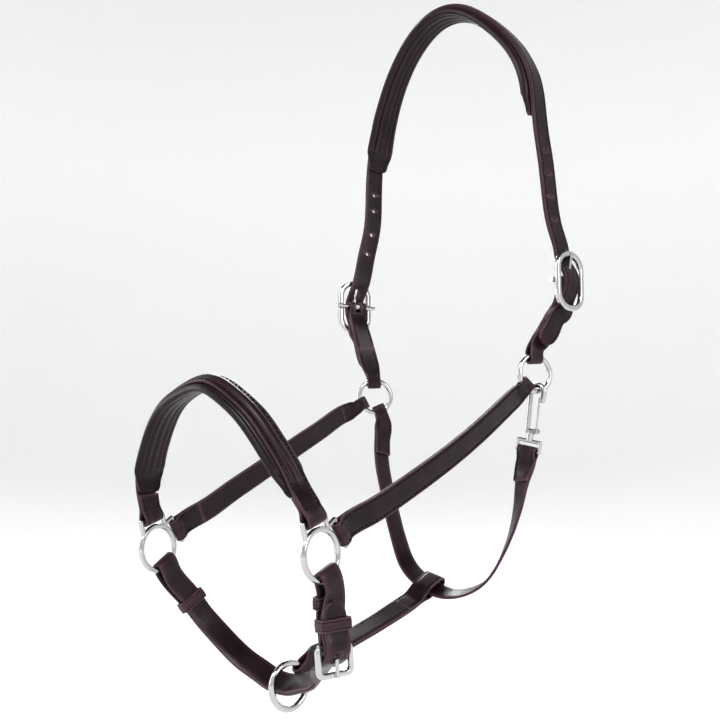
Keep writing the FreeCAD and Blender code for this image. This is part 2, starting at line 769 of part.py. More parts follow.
# ---------------------------------------------------------------- noseband
def noseband():
    """The noseband strap round the nose, from the near fitting's front slot to the far one."""
    near_slot, near_out, near_line = slot_bar(NEAR_SIDE, NOSE_SLOT, 1)
    far_slot, far_out, far_line = slot_bar(FAR_SIDE, NOSE_SLOT, -1)
    side = (0, -0.96, -0.27)
    near_line = near_line if near_line.dot(Vector(*side)) > 0 else near_line * -1
    far_line = far_line if far_line.dot(Vector(*side)) > 0 else far_line * -1
    points = [tuples(near_slot, near_line), tuples(near_slot + near_out * 6 - Vector(0.6, 0, 0), near_line)]
    points += [(point, side) for point in (
        (76.1, -261.2, -441.0), (67.6, -264, -425.4), (55, -268, -406.1), (41.8, -271, -389.6),
        (24.2, -273, -375.4), (1.5, -274, -364.3), (-25.4, -273, -366.8), (-50.1, -271, -376.8),
        (-71.8, -267, -400.4), (-83.2, -263.5, -428.8))]
    points += [tuples(far_slot + far_out * 6 + Vector(0.3, 0, 0), far_line), tuples(far_slot, far_line)]
    middle = route(points, 2.5)
    if at(middle, middle[-1].distance / 2).out.z < 0:
        for here in middle:
            here.side = here.side * -1
        orient(middle)
    return middle


NOSE = noseband()
NOSE_LENGTH = NOSE[-1].distance
leather("noseband_strap", strip(
    folded(NOSE, SINGLE, SLOT_FOLD, SLOT_FOLD, (17.0, 17.0)), SINGLE))
nose_pad = offset(NOSE, -(size("nose_pad_thick") / 2 + GAP), 19.0, NOSE_LENGTH - 19.0,
                  size("nose_pad_width"))
leather("noseband_pad", strip(nose_pad, size("nose_pad_thick")))
ridge = offset(NOSE, SINGLE + 2 * GAP + size("ridge_height") / 2, 24.0, NOSE_LENGTH - 24.0,
               size("ridge_width"))
leather("noseband_ridge", strip(ridge, size("ridge_height")))

# ---------------------------------------------------------------- chin strap
SIDE_RADIUS = size("side_ring_radius")
CHIN_FOLD = size("side_ring_wire") + size("wire_gap") + SINGLE / 2
CHIN_OUT = Vector(0.966, -0.259, 0)
CHIN_BAR = Vector(84.4, -241.4, -533.6)
CHIN_BUCKLE = frame(CHIN_BAR, Vector(0.258, 0.962, 0.091), CHIN_OUT)
CHIN_BAR_FOLD = size("chin_bar_radius") + 0.15 + SINGLE / 2


def arc_points(centre, past, out, radius, side, turns):
    """Points of a fold: angles from the outward side round past the wire."""
    return [tuples(centre + past * (radius * math.sin(math.radians(a)))
                   + out * (radius * math.cos(math.radians(a))), side) for a in turns]


def chin_route():
    """The chin strap's one long strip, from its buckle round both fittings to its billet."""
    up = turn(CHIN_BUCKLE, 0, 1, 0)
    out = turn(CHIN_BUCKLE, 0, 0, 1)
    bar_side = turn(CHIN_BUCKLE, 1, 0, 0)
    near_wire, near_pull, near_line = around(NEAR_SIDE, 155.0, SIDE_RADIUS - 2.6, 1)
    far_wire, far_pull, far_line = around(FAR_SIDE, 147.0, SIDE_RADIUS - 2.6, -1)
    near_out = turn(NEAR_SIDE, 0, 0, 1)
    far_out = turn(FAR_SIDE, 0, 0, 1)
    near_line = near_line if near_line.y > 0 else near_line * -1
    far_line = far_line if far_line.y > 0 else far_line * -1
    layer = (SINGLE + GAP) / 2
    points = []
    for along in (15.0, 9.0):
        points.append(tuples(CHIN_BAR + up * along - out * layer, bar_side))
    points += arc_points(CHIN_BAR, up * -1, out, CHIN_BAR_FOLD, bar_side, (200, 165, 125, 90, 55, 15, -20))
    for along in (9.0, 15.0):
        points.append(tuples(CHIN_BAR + up * along + out * layer, bar_side))
    points.append(tuples(near_wire + near_pull * 9 + near_out * CHIN_FOLD, near_line))
    points += arc_points(near_wire, near_pull * -1, near_out, CHIN_FOLD, near_line,
                         (0, 30, 60, 90, 120, 150, 180))
    inner = [
        (tuples(near_wire + near_pull * 8 - near_out * CHIN_FOLD)[0], (0.05, 0.93, 0.36)),
        ((76.0, -238.6, -515.6), (0.15, 0.93, 0.3)),
        ((73.4, -234.4, -526.5), (0.15, 0.92, 0.35)),
        ((68.4, -229.2, -537.9), (0.1, 0.88, 0.45)),
        ((59.5, -223.0, -549.0), (0.05, 0.82, 0.55)),
        ((42, -213.4, -560.3), (0, 0.78, 0.62)),
        ((21, -205.3, -566.2), (0, 0.77, 0.63)),
        ((0, -198.8, -570.6), (0, 0.77, 0.64)),
        ((-14, -199.8, -568.8), (0, 0.77, 0.64)),
        ((-26, -200.4, -564.2), (0, 0.77, 0.64)),
        ((-38, -202.6, -558.6), (0, 0.77, 0.64)),
        ((-49, -205.0, -551.6), (0, 0.78, 0.62)),
        ((-58.5, -208.2, -543.4), (0, 0.79, 0.62)),
        ((-67, -212.4, -534.4), (0, 0.82, 0.58)),
        ((-73.6, -218.0, -524.6), (0, 0.86, 0.52)),
        ((-77.6, -225.0, -513.4), (0, 0.88, 0.46)),
    ]
    points += inner
    points.append(tuples(far_wire + far_pull * 9 - far_out * (CHIN_FOLD - 0.4), far_line))
    points += arc_points(far_wire, far_pull * -1, far_out * -1, CHIN_FOLD, far_line,
                         (0, 30, 60, 90, 120, 150, 180))
    points.append(tuples(far_wire + far_pull * 9 + far_out * (CHIN_FOLD - 0.4), far_line))
    outer = route(inner, 8.0)
    down = 1 if at(outer, outer[-1].distance / 2).out.z < 0 else -1
    apart = SINGLE + 0.25
    for here in reversed(outer[2:-1]):
        if here.point.x < 56.0:
            points.append(tuples(here.point + here.out * (apart * down), here.side))
    for along, lift in ((-14.6, -13.0), (-11.4, -4.5), (-8.2, 1.4), (-3.2, 5.7), (3.5, 6.1),
                        (9.0, 4.6), (14.0, 4.0), (20.0, 3.95), (27.5, 4.4)):
        points.append(tuples(CHIN_BAR + up * along + out * lift, bar_side))
    return even_sides(points)


def close_route(points, step):
    """Stations on a smooth line, closer where the points are close."""
    lengths = [0.0]
    for (start, side), (end, other) in zip(points, points[1:]):
        lengths.append(lengths[-1] + (Vector(*end) - Vector(*start)).Length)
    curve = Part.BSplineCurve()
    curve.interpolate(Points=[Vector(*p) for p, s in points], Parameters=lengths)
    stations = []
    for index in range(len(points) - 1):
        span = lengths[index + 1] - lengths[index]
        count = max(int(round(span / step)), 1) if span > step else 1
        for k in range(count):
            share = k / count
            side = Vector(*points[index][1]) * (1 - share) + Vector(*points[index + 1][1]) * share
            stations.append(Station(curve.value(lengths[index] + span * share), unit(side)))
    stations.append(Station(Vector(*points[-1][0]), Vector(*points[-1][1])))
    for before, after in zip(stations, stations[1:]):
        after.distance = before.distance + (after.point - before.point).Length
    return orient(stations)


CHIN = close_route(chin_route(), 5.0)
chin_shape = strip(pointed(CHIN, 10.0), SINGLE)
for tool in (cutter(CHIN_BUCKLE, 4.6, 9.0, 12.0, 0, -1.5, 0),
             cutter(CHIN_BUCKLE, 3.4, 9.5, 7.5, 0, -7.2, 3.4)):
    chin_shape = chin_shape.cut(tool)
leather("chin_strap", chin_shape)

chin_centre = (size("chin_frame_band") - size("chin_frame_height")) / 2
chin_lift = size("chin_frame_band") / 2
buckle("chin_buckle", Placement(place(CHIN_BUCKLE, 0, 0, -chin_lift), CHIN_BUCKLE.Rotation),
       "chin_frame", 0.0, chin_lift, "chin_bar", chin_centre,
       (chin_centre - size("chin_frame_height") / 2 + 1.8, 2 * chin_lift + 0.75))
CHIN_TONGUE = Placement(CHIN_BAR, Rotation(turn(CHIN_BUCKLE, -1, 0, 0), turn(CHIN_BUCKLE, 0, -1, 0),
                                          turn(CHIN_BUCKLE, 0, 0, 1), "ZXY"))
tongue("chin_tongue", CHIN_TONGUE, "chin_bar_radius", 18.9, 2.95)


def keeper_frame(point, along, out):
    """A keeper's frame: Y along the strap, Z outward."""
    along = unit(along)
    out = square_to(out, along)
    return Placement(point, Rotation(along.cross(out), along, out, "ZXY"))


chin_up = turn(CHIN_BUCKLE, 0, 1, 0)
chin_face = turn(CHIN_BUCKLE, 0, 0, 1)


def keeper_on(label, point, across, gap):
    """A keeper round the chin strap's layers at the station nearest to a point."""
    here = min(CHIN, key=lambda station: (station.point - point).Length)
    mate = min((other for other in CHIN if abs(other.distance - here.distance) > 30.0),
               key=lambda station: (station.point - here.point).Length)
    middle = (here.point + mate.point) / 2 if gap > SINGLE * 2 else here.point
    keeper(label, keeper_frame(middle, here.along, here.out), across, gap)


keeper("chin_keeper", keeper_frame(CHIN_BAR + chin_up * 13.4 + chin_face * 1.7, chin_up, chin_face),
       WIDTH + 1.2, 9.2)

keeper_on("near_chin_keeper", Vector(76.8, -240.5, -508.5), WIDTH + 1.2, SINGLE + 0.9)
keeper_on("far_chin_keeper", Vector(-77.0, -223.5, -516.0), WIDTH + 1.2, 2 * SINGLE + 2.2)

# ---------------------------------------------------------------- lead ring
ring("lead_ring", LEAD_RING, "lead_ring_radius", "lead_ring_wire")


# ---------------------------------------------------------------- throat strap and snap
def throat_route():
    """The throat strap from the far upper ring down through the rear loop, up to the snap."""
    wire, pull, line = around(FAR_RING, 161.0, RING_RADIUS - FOLD_IN, -1)
    line = line if line.y > 0 else line * -1
    eye = SNAP.Base
    drop = turn(SNAP, 0, -1, 0)
    eye_line = turn(SNAP, -1, 0, 0)
    points = [tuples(wire, line), tuples(wire + pull * 9, line)]
    points += [
        ((-82.5, -0.5, -386.5), (0.1, 0.99, 0.05)),
        ((-75, -6.2, -418.0), (0.05, 1, 0.1)),
        ((-66, -10.7, -437.4), (0, 1, 0.12)),
        ((-50, -20.9, -462.6), (0, 0.97, 0.2)),
        ((-40, -26.0, -478.6), (0, 0.95, 0.27)),
        ((-24, -32.6, -498.4), (0, 0.92, 0.38)),
        ((-11.5, -35.2, -506.6), (0, 0.91, 0.42)),
        ((-1, -36.6, -511.6), (0, 0.91, 0.42)),
        ((9.5, -37.5, -515.4), (0, 0.91, 0.42)),
        ((23.1, -34, -517.4), (0, 0.95, 0.3)),
        ((34.5, -28, -514.5), (-0.1, 0.95, 0.3)),
        ((44, -23, -508.6), (-0.25, 0.92, 0.25)),
        ((52.2, -19, -497.5), (-0.4, 0.88, 0.2)),
        ((58.2, -16, -484.9), (-0.52, 0.83, 0.15)),
        ((62.8, -13, -472.1), (-0.62, 0.77, 0.1)),
        ((66.7, -11, -458.8), (-0.72, 0.68, 0.12)),
        ((69.4, -9, -445.2), (-0.82, 0.55, 0.14)),
        ((71.2, -7, -431.5), (-0.9, 0.4, 0.16)),
    ]
    points += [tuples(eye + drop * 9, eye_line), tuples(eye, eye_line)]
    return points


HOOK_ANGLE = 171.0  # degrees from the top of the near ring, rearward
hook_wire, hook_pull, hook_line = around(NEAR_RING, HOOK_ANGLE, RING_RADIUS, 1)
SNAP_SEAT = size("snap_reach") + size("snap_arch") - size("snap_wire") - RING_WIRE - 0.7
snap_up = unit(Vector(0.226, -0.01, 0.974))
SNAP = frame(hook_wire - snap_up * SNAP_SEAT, Vector(0.974, 0.05, -0.226), Vector(0.05, -0.9987, 0))
SNAP = Placement(SNAP.Base, Rotation(SNAP.Rotation.multVec(Vector(1, 0, 0)), snap_up,
                                     turn(SNAP, 0, 0, 1), "YZX"))

THROAT = route(throat_route(), 2.5)
THROAT_LENGTH = THROAT[-1].distance
if at(THROAT, THROAT_LENGTH * 0.1).out.x > 0:
    for here in THROAT:
        here.side = here.side * -1
    orient(THROAT)
leather("throat_strap", strip(folded(
    THROAT, SINGLE, RING_FOLD, (size("eye_wire") + 0.35, 1.0), (42.0, 26.0),
    (size("fold_width") - 0.6, None)), SINGLE))


def snap_body():
    """The snap's casting: eye, neck, spine, arch and nose in one plane."""
    half = size("eye_half")
    top = size("eye_height")
    arch = size("snap_arch")
    reach = size("snap_reach")
    corners = [Vector(-half, 0, 0), Vector(half, 0, 0), Vector(half, top, 0), Vector(-half, top, 0)]
    pieces = []
    for k, corner in enumerate(corners):
        pieces.append(rod(f"snap_eye_{k}", corner, corners[(k + 1) % 4], "Sizes.eye_wire"))
        pieces.append(ball(f"snap_eye_corner_{k}", corner, "Sizes.eye_wire"))
    pieces.append(rod("snap_neck", Vector(0, top, 0), Vector(0, top + 7, 0), "Sizes.snap_wire + 0.8"))
    foot = Vector(-arch + 2.6, top + 8, 0)
    pieces.append(rod("snap_cross", foot, Vector(arch - 1.6, top + 8, 0), "Sizes.snap_wire"))
    pieces.append(ball("snap_heel", foot, "Sizes.snap_wire"))
    pieces.append(rod("snap_spine", foot, Vector(-arch, reach, 0), "Sizes.snap_wire"))
    bend = primitive("Torus", "snap_bend", {"Radius1": "Sizes.snap_arch", "Radius2": "Sizes.snap_wire"})
    bend.Angle3 = 180
    bend.Placement = Placement(Vector(0, reach, 0), Rotation())
    pieces.append(bend)
    pieces.append(ball("snap_shoulder", Vector(-arch, reach, 0), "Sizes.snap_wire"))
    pieces.append(rod("snap_nose", Vector(arch, reach, 0), Vector(arch, reach - 6, 0), "Sizes.snap_wire"))
    pieces.append(ball("snap_nose_end", Vector(arch, reach - 6, 0), "Sizes.snap_wire"))
    casting = doc.addObject("Part::MultiFuse", "snap_casting")
    casting.Shapes = pieces
    slot = doc.addObject("Part::Box", "snap_gate_slot")
    slot.Length = 9.0
    slot.Width = 9.0
    slot.Height = 2.9
    slot.Placement.Base = Vector(arch - 4.2, top + 5.6, -1.45)
    bore = primitive("Cylinder", "snap_pin_bore", {"Radius": "Sizes.gate_radius * 0.9"},
                     Vector(PIVOT_X, PIVOT_Y, -6))
    bore.Height = 12
    ears = rod("snap_ears", Vector(PIVOT_X, PIVOT_Y, -2.9), Vector(PIVOT_X, PIVOT_Y, 2.9),
               "Sizes.snap_wire")
    whole = doc.addObject("Part::MultiFuse", "snap_with_ears")
    whole.Shapes = [casting, ears]
    opened = doc.addObject("Part::Cut", "snap_opened")
    opened.Base = whole
    opened.Tool = slot
    obj = doc.addObject("Part::Cut", "snap_body")
    obj.Base = opened
    obj.Tool = bore
    keep(obj, "snap_body", SNAP)


PIVOT_X = size("snap_arch") - 1.6
PIVOT_Y = size("eye_height") + 8.6


def snap_gate():
    """The gate: an eye on the pin and a tapered finger up to the inside of the nose."""
    body = new_body("snap_gate")
    pivot = Vector(PIVOT_X, PIVOT_Y, 0)
    lift = Vector(0, 0, 1.15)
    body_rod(body, "snap_gate_eye", "Additive", pivot - lift, pivot + lift, "Sizes.gate_radius * 1.9")
    tip = Vector(size("snap_arch") - size("snap_wire") - size("gate_radius") - 0.25,
                 size("snap_reach") - 3.6, 0)
    body_rod(body, "snap_gate_finger", "Additive", pivot, tip, "Sizes.gate_radius")
    body_rod(body, "snap_gate_bore", "Subtractive", pivot - lift * 2, pivot + lift * 2,
             "Sizes.gate_radius * 0.9 + Sizes.pivot_gap")
    doc.recompute()
    keep(body, "snap_gate", SNAP)


snap_body()
snap_gate()
pin = doc.addObject("Part::Cylinder", "snap_pin")
pin.setExpression("Radius", "Sizes.gate_radius * 0.9")
pin.Height = 6.2
keep(pin, "snap_pin", Placement(place(SNAP, PIVOT_X, PIVOT_Y, -3.1), SNAP.Rotation))


# ---------------------------------------------------------------- connecting strap
def connecting():
    """The strap under the jaw, from the lead ring back to its loop round the throat strap."""
    angle = math.radians(40.0)
    pull = turn(LEAD_RING, math.cos(angle), math.sin(angle), 0)
    wire = LEAD_CENTRE + pull * (size("lead_ring_radius") - 1.4)
    line = turn(LEAD_RING, math.sin(angle), -math.cos(angle), 0)
    loop_side = Vector(0.91, -0.08, -0.40)
    loop_end = Vector(-1.2, -36.6 + 7.4 * 0.91, -511.6 + 7.4 * 0.42)
    loop_along = Vector(0.0, 0.908, 0.419)
    points = [
        tuples(wire, line),
        tuples(wire + pull * 8, line),
        ((0, -163.5, -553.5), (0.8, 0.19, -0.57)),
        ((0, -145.7, -549.0), (0.93, 0.11, -0.34)),
        ((0, -124.9, -543.4), (0.94, 0.1, -0.32)),
        ((0, -100.1, -536.0), (0.93, 0.1, -0.34)),
        ((0, -77.2, -528.4), (0.9, 0.12, -0.4)),
        tuples(loop_end - loop_along * 26 - Vector(0, 0, 0.6), loop_side),
        tuples(loop_end - loop_along * 13, loop_side),
        tuples(loop_end, loop_side),
    ]
    return route(points, 2.5)


CONNECT = connecting()
CONNECT_LENGTH = CONNECT[-1].distance
if at(CONNECT, CONNECT_LENGTH / 2).out.z > 0:
    for here in CONNECT:
        here.side = here.side * -1
    orient(CONNECT)
LEAD_FOLD = (size("lead_ring_wire") + 0.7, 4.2)
LOOP_FOLD = (SINGLE / 2 + 2.1, 18.8)
leather("connecting_strap", strip(folded(
    CONNECT, TWIN, LEAD_FOLD, LOOP_FOLD, (34.0, 46.0), (size("fold_width") - 1.6, None)), TWIN))
leather("connecting_lining", strip(
    offset(CONNECT, -(TWIN + GAP) / 2, 34.6, CONNECT_LENGTH - 46.6), TWIN))

# ---------------------------------------------------------------- check and write
doc.recompute()
for obj in doc.Objects:
    if "Invalid" in obj.State or "Error" in obj.State:
        raise RuntimeError(f"{obj.Label} failed: {obj.State}")
bad = [obj.Label for obj in SUBPARTS
       if obj.Shape.isNull() or not obj.Shape.isValid() or obj.Shape.Volume < 1.0]
if bad:
    raise RuntimeError("bad shapes: " + ", ".join(bad))
os.makedirs("parts", exist_ok=True)
for obj in SUBPARTS:
    shape = obj.Shape
    shape.exportStep(f"parts/{obj.Label}.step")
    box = shape.BoundBox
    print(f"{obj.Label:22s} {shape.Volume:8.0f} mm3 {len(shape.Solids)} solid  "
          f"x {box.XMin:.0f}..{box.XMax:.0f} y {box.YMin:.0f}..{box.YMax:.0f} z {box.ZMin:.0f}..{box.ZMax:.0f}")
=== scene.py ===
"""Leather headcollar: straps, pads, stitching, metal, floor, light and camera.

Routes and sizes are in millimetres, and points are scaled to metres as they enter a mesh.
The studio, the lights and the camera are in metres.
"""

import math

import bmesh
import bpy
import numpy as np
from mathutils import Matrix, Vector, noise


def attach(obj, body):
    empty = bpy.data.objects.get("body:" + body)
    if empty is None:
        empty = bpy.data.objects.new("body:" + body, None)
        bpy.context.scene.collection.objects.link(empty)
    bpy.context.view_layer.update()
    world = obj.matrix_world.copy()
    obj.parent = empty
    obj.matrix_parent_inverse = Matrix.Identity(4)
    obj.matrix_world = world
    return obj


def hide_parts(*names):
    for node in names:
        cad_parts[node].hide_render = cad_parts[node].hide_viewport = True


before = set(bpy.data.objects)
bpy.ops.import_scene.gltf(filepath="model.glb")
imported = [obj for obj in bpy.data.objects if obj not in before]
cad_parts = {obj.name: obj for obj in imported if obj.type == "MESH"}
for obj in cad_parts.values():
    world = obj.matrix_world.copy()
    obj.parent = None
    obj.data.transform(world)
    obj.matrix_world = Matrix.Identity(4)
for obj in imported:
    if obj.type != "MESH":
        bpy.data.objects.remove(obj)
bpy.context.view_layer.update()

ROOT = "headcollar"
MM = 0.001
WIDTH = 17.0  # every strap
TWIN = 1.75  # thickness of one layer in a two-layer strap
SINGLE = 2.2  # thickness of a strap of one layer
GAP = 0.12  # between two layers
RING_RADIUS = 14.75  # upper rings, to the middle of the wire
RING_WIRE = 2.25  # radius of their wire
FOLD_IN = 2.1  # how far inside a ring's circle a fold is centred
FOLD_WIDTH = 12.0  # a strap's width in a ring's fold
SIDE_RADIUS = 16.0
LEAD_RADIUS = 15.6
SLOT_REACH = 23.0  # from a side fitting's middle to its slot bars
# Folds: the bend's inner radius, and how far from it the layers stay open.
RING_FOLD = (RING_WIRE + 0.45, FOLD_IN + RING_WIRE + 0.3)
BAR_FOLD = (2.2 + 0.15, 0.6)
SLOT_FOLD = (1.7 + 0.35, 1.0)
# Stitch rows: their places across a strap, and their height from the middle of a layer.
SEAMS = (-6.3, 6.3)
CHAPE_SEAMS = (-6.2, 6.2)
ON_TWIN = TWIN / 2 + 0.06
ON_SINGLE = SINGLE / 2 + 0.06
END_REACH = 0.35  # how far a strip's softened end stands out
KEEPER_WIDTH = 8.0
KEEPER_ROOM = WIDTH + 1.2
UP = Vector((0, 0, 1))


# ---------------------------------------------------------------- vectors and frames
def square_to(vector, direction):
    """The part of a vector that is square to a direction, at length one."""
    return (vector - direction * vector.dot(direction)).normalized()


def columns(origin, x_axis, y_axis, z_axis):
    """A placement from its origin and axes."""
    matrix = Matrix((x_axis, y_axis, z_axis)).transposed().to_4x4()
    matrix.translation = origin
    return matrix


def axes(origin, across, outward):
    """Placement with X along across and Z outward."""
    z_axis = Vector(outward).normalized()
    x_axis = square_to(Vector(across), z_axis)
    return columns(Vector(origin), x_axis, z_axis.cross(x_axis), z_axis)


def place(placement, x=0.0, y=0.0, z=0.0):
    """A local point in the object's frame."""
    return placement @ Vector((x, y, z))


def turn(placement, x=0.0, y=0.0, z=0.0):
    """A local direction in the object's frame."""
    return placement.to_3x3() @ Vector((x, y, z))


def smoothstep(value):
    """A soft ramp from 0 to 1."""
    value = min(max(value, 0.0), 1.0)
    return value * value * (3.0 - 2.0 * value)


def spline(knots, values):
    """A smooth curve through values at knots, as a function of the knot value."""
    knots = np.asarray(knots, float)
    values = np.asarray(values, float)
    steps = np.diff(knots)
    slopes = np.diff(values, axis=0) / steps[:, None]
    count = len(knots)
    matrix = np.zeros((count, count))
    right = np.zeros_like(values)
    matrix[0, 0] = matrix[-1, -1] = 1.0
    right[0] = slopes[0] + (slopes[0] - slopes[1]) * steps[0] / (steps[0] + steps[1])
    right[-1] = slopes[-1] + (slopes[-1] - slopes[-2]) * steps[-1] / (steps[-1] + steps[-2])
    for k in range(1, count - 1):
        matrix[k, k - 1] = steps[k]
        matrix[k, k] = 2 * (steps[k - 1] + steps[k])
        matrix[k, k + 1] = steps[k - 1]
        right[k] = 3 * (steps[k] * slopes[k - 1] + steps[k - 1] * slopes[k])
    ramps = np.linalg.solve(matrix, right)

    def value(at):
        k = int(min(max(np.searchsorted(knots, at) - 1, 0), count - 2))
        h = steps[k]
        s = (at - knots[k]) / h
        return ((1 + 2 * s) * (1 - s) ** 2 * values[k] + s * (1 - s) ** 2 * h * ramps[k]
                + s * s * (3 - 2 * s) * values[k + 1] + s * s * (s - 1) * h * ramps[k + 1])

    return value


# ---------------------------------------------------------------- strap routes
class Station:
    """One place along a strap."""

    def __init__(self, point, side, distance=0.0, width=WIDTH):
        self.point = Vector(point)
        self.side = Vector(side)
        self.distance = distance
        self.width = width
        self.along = None
        self.out = None


def orient(stations):
    """Work out each station's direction and normal from its neighbours."""
    last = len(stations) - 1
    for index, here in enumerate(stations):
        before = stations[max(index - 1, 0)]
        after = stations[min(index + 1, last)]
        here.along = (after.point - before.point).normalized()
        here.side = square_to(here.side, here.along)
        here.out = here.along.cross(here.side)
    return stations


def measure(stations):
    """Write each station's distance along the strap."""
    stations[0].distance = 0.0
    for before, after in zip(stations, stations[1:]):
        after.distance = before.distance + (after.point - before.point).length
    return stations


def route(controls, step=7.0):
    """Evenly spaced stations on a smooth line through (point, side) pairs."""
    points = [Vector(point) for point, side in controls]
    sides = [Vector(side).normalized() for point, side in controls]
    reach = [0.0]
    for start, end in zip(points, points[1:]):
        reach.append(reach[-1] + (end - start).length)
    curve = spline(reach, points)
    count = max(int(round(reach[-1] / step)), 4)
    stations = []
    for index in range(count + 1):
        at_reach = reach[-1] * index / count
        low = max(k for k in range(len(reach) - 1) if reach[k] <= at_reach + 1e-6)
        share = smoothstep((at_reach - reach[low]) / (reach[low + 1] - reach[low]))
        side = sides[low] * (1.0 - share) + sides[low + 1] * share
        stations.append(Station(curve(at_reach), side.normalized()))
    return orient(measure(stations))


def at(stations, distance):
    """The station at a distance along the route."""
    for before, after in zip(stations, stations[1:]):
        if after.distance >= distance - 1e-6:
            share = (distance - before.distance) / max(after.distance - before.distance, 1e-9)
            here = Station(before.point.lerp(after.point, share),
                           before.side.lerp(after.side, share).normalized(), distance,
                           before.width + (after.width - before.width) * share)
            here.along = before.along.lerp(after.along, share).normalized()
            here.out = before.out.lerp(after.out, share).normalized()
            return here
    return stations[-1]


def offset(stations, out, start=None, end=None, width=None):
    """A copy of the stations moved outward, between two distances."""
    start = 0.0 if start is None else start
    end = stations[-1].distance if end is None else end
    kept = [at(stations, start)]
    kept += [here for here in stations if start + 2.0 < here.distance < end - 2.0]
    kept.append(at(stations, end))
    moved = [Station(here.point + here.out * out, here.side, here.distance,
                     here.width if width is None else width) for here in kept]
    return orient(moved)


def pointed(stations, length=11.0, tip=3.0, from_start=False):
    """Taper the last stretch of a strip to a rounded tip."""
    ends = stations[::-1] if from_start else stations
    total = abs(ends[-1].distance - ends[0].distance)
    ordered = sorted(ends, key=lambda here: here.distance)
    more = []
    for share in (0.0, 0.3, 0.55, 0.75, 0.9, 0.97, 1.0):
        distance = ends[0].distance + (ends[-1].distance - ends[0].distance) * (
            (total - length + length * share) / total)
        here = at(ordered, distance)
        here.width = tip + (WIDTH - tip) * math.sqrt(max(1.0 - share * share, 0.0))
        more.append(here)
    limit = total - length - 1.0
    kept = [here for here in ends if abs(here.distance - ends[0].distance) < limit]
    result = kept + more
    return result[::-1] if from_start else result


def folded(middle, thick, first=None, last=None, back=(24.0, 24.0), narrow=None, gap=GAP):
    """Stations of a strap that turns round a wire at one or both ends and comes back inside."""
    length = middle[-1].distance
    rest = (thick + gap) / 2

    def spread(distance):
        value = rest
        for fold, along in ((first, distance), (last, length - distance)):
            if fold:
                radius = fold[0] + thick / 2
                share = smoothstep((along - fold[1]) / (2.4 * radius))
                value = max(value, radius + (rest - radius) * share)
        return value

    def breadth(distance):
        value = WIDTH
        for fold, along, slim in ((first, distance, narrow and narrow[0]),
                                  (last, length - distance, narrow and narrow[1])):
            if fold and slim:
                value = min(value, slim + (WIDTH - slim) * smoothstep((along - 4.0) / 16.0))
        return value

    def run(start, end):
        marks = []
        distance = start
        sign = 1 if end > start else -1
        while (end - distance) * sign > 1.0:
            marks.append(distance)
            near = min(distance if first else math.inf, length - distance if last else math.inf)
            distance += sign * (2.0 if near < 16.0 else 7.0)
        marks.append(end)
        return marks

    stations = []

    def leg(start, end, out_sign):
        for distance in run(start, end):
            here = at(middle, distance)
            stations.append(Station(here.point + here.out * (out_sign * spread(distance)),
                                    here.side, 0.0, breadth(distance)))

    def arc(fold, end, sign):
        here = middle[-1] if end else middle[0]
        past = here.along if end else here.along * -1.0
        radius = fold[0] + thick / 2
        for degrees in (-72, -48, -24, 0, 24, 48, 72):
            angle = math.radians(degrees) * sign
            stations.append(Station(
                here.point + past * (radius * math.cos(angle)) + here.out * (radius * math.sin(angle)),
                here.side, 0.0, breadth(length if end else 0.0)))

    if first:
        leg(min(back[0], length), 0.0, -1)
        arc(first, False, 1)
    leg(0.0, length, 1)
    if last:
        arc(last, True, -1)
        leg(length, max(length - back[1], 0.0), -1)
    return orient(measure(stations))


def flipped(stations):
    """Turn the strap's outward side to the other face."""
    for here in stations:
        here.side = here.side * -1
    return orient(stations)


def even_sides(points):
    """Give every side the sense of the one before it."""
    result = [points[0]]
    for point, side in points[1:]:
        before = Vector(result[-1][1])
        side = Vector(side)
        result.append((point, side if before.dot(side) >= 0 else side * -1))
    return result


def finely(stations, step=1.6):
    """The same strap with its stations close enough together for a smooth surface."""
    reach = [0.0]
    for before, after in zip(stations, stations[1:]):
        reach.append(reach[-1] + (after.point - before.point).length)
    points = spline(reach, [here.point for here in stations])
    sides = spline(reach, [here.side for here in stations])
    marks = []
    for start, end in zip(reach, reach[1:]):
        count = max(int(math.ceil((end - start) / step)), 2)
        marks += [start + (end - start) * k / count for k in range(count)]
    marks.append(reach[-1])
    widths = np.interp(marks, reach, [here.width for here in stations])
    places = np.interp(marks, reach, [here.distance for here in stations])
    fine = [Station(points(mark), Vector(sides(mark)).normalized(), place_along, width)
            for mark, place_along, width in zip(marks, places, widths)]
    return orient(fine)


# ---------------------------------------------------------------- meshes
def smooth(mesh, degrees):
    """Shade a mesh smooth, except across edges sharper than an angle."""
    for polygon in mesh.polygons:
        polygon.use_smooth = True
    mesh.set_sharp_from_angle(angle=math.radians(degrees))


def add(name, data):
    """A new object in the scene."""
    obj = bpy.data.objects.new(name, data)
    bpy.context.scene.collection.objects.link(obj)
    return obj


def solid(name, shape):
    """A new object from a shape, with its faces outward and smooth except at its real edges."""
    bmesh.ops.recalc_face_normals(shape, faces=shape.faces)
    mesh = bpy.data.meshes.new(name)
    shape.to_mesh(mesh)
    shape.free()
    obj = add(name, mesh)
    smooth(mesh, 48)
    return obj


def skin(shape, rows, closed=False):
    """Faces between each row of a shape's points and the next."""
    count = len(rows[0])
    pairs = list(zip(rows, rows[1:])) + ([(rows[-1], rows[0])] if closed else [])
    for low, high in pairs:
        for k in range(count):
            shape.faces.new((low[k], low[(k + 1) % count], high[(k + 1) % count], high[k]))


def make(name, rings, closed=False):
    """A skin over rings of points. It meets itself when closed, or else its ends are capped."""
    shape = bmesh.new()
    rows = [[shape.verts.new(point * MM) for point in ring] for ring in rings]
    skin(shape, rows, closed)
    if not closed:
        shape.faces.new(rows[0])
        shape.faces.new(rows[-1][::-1])
    return solid(name, shape)


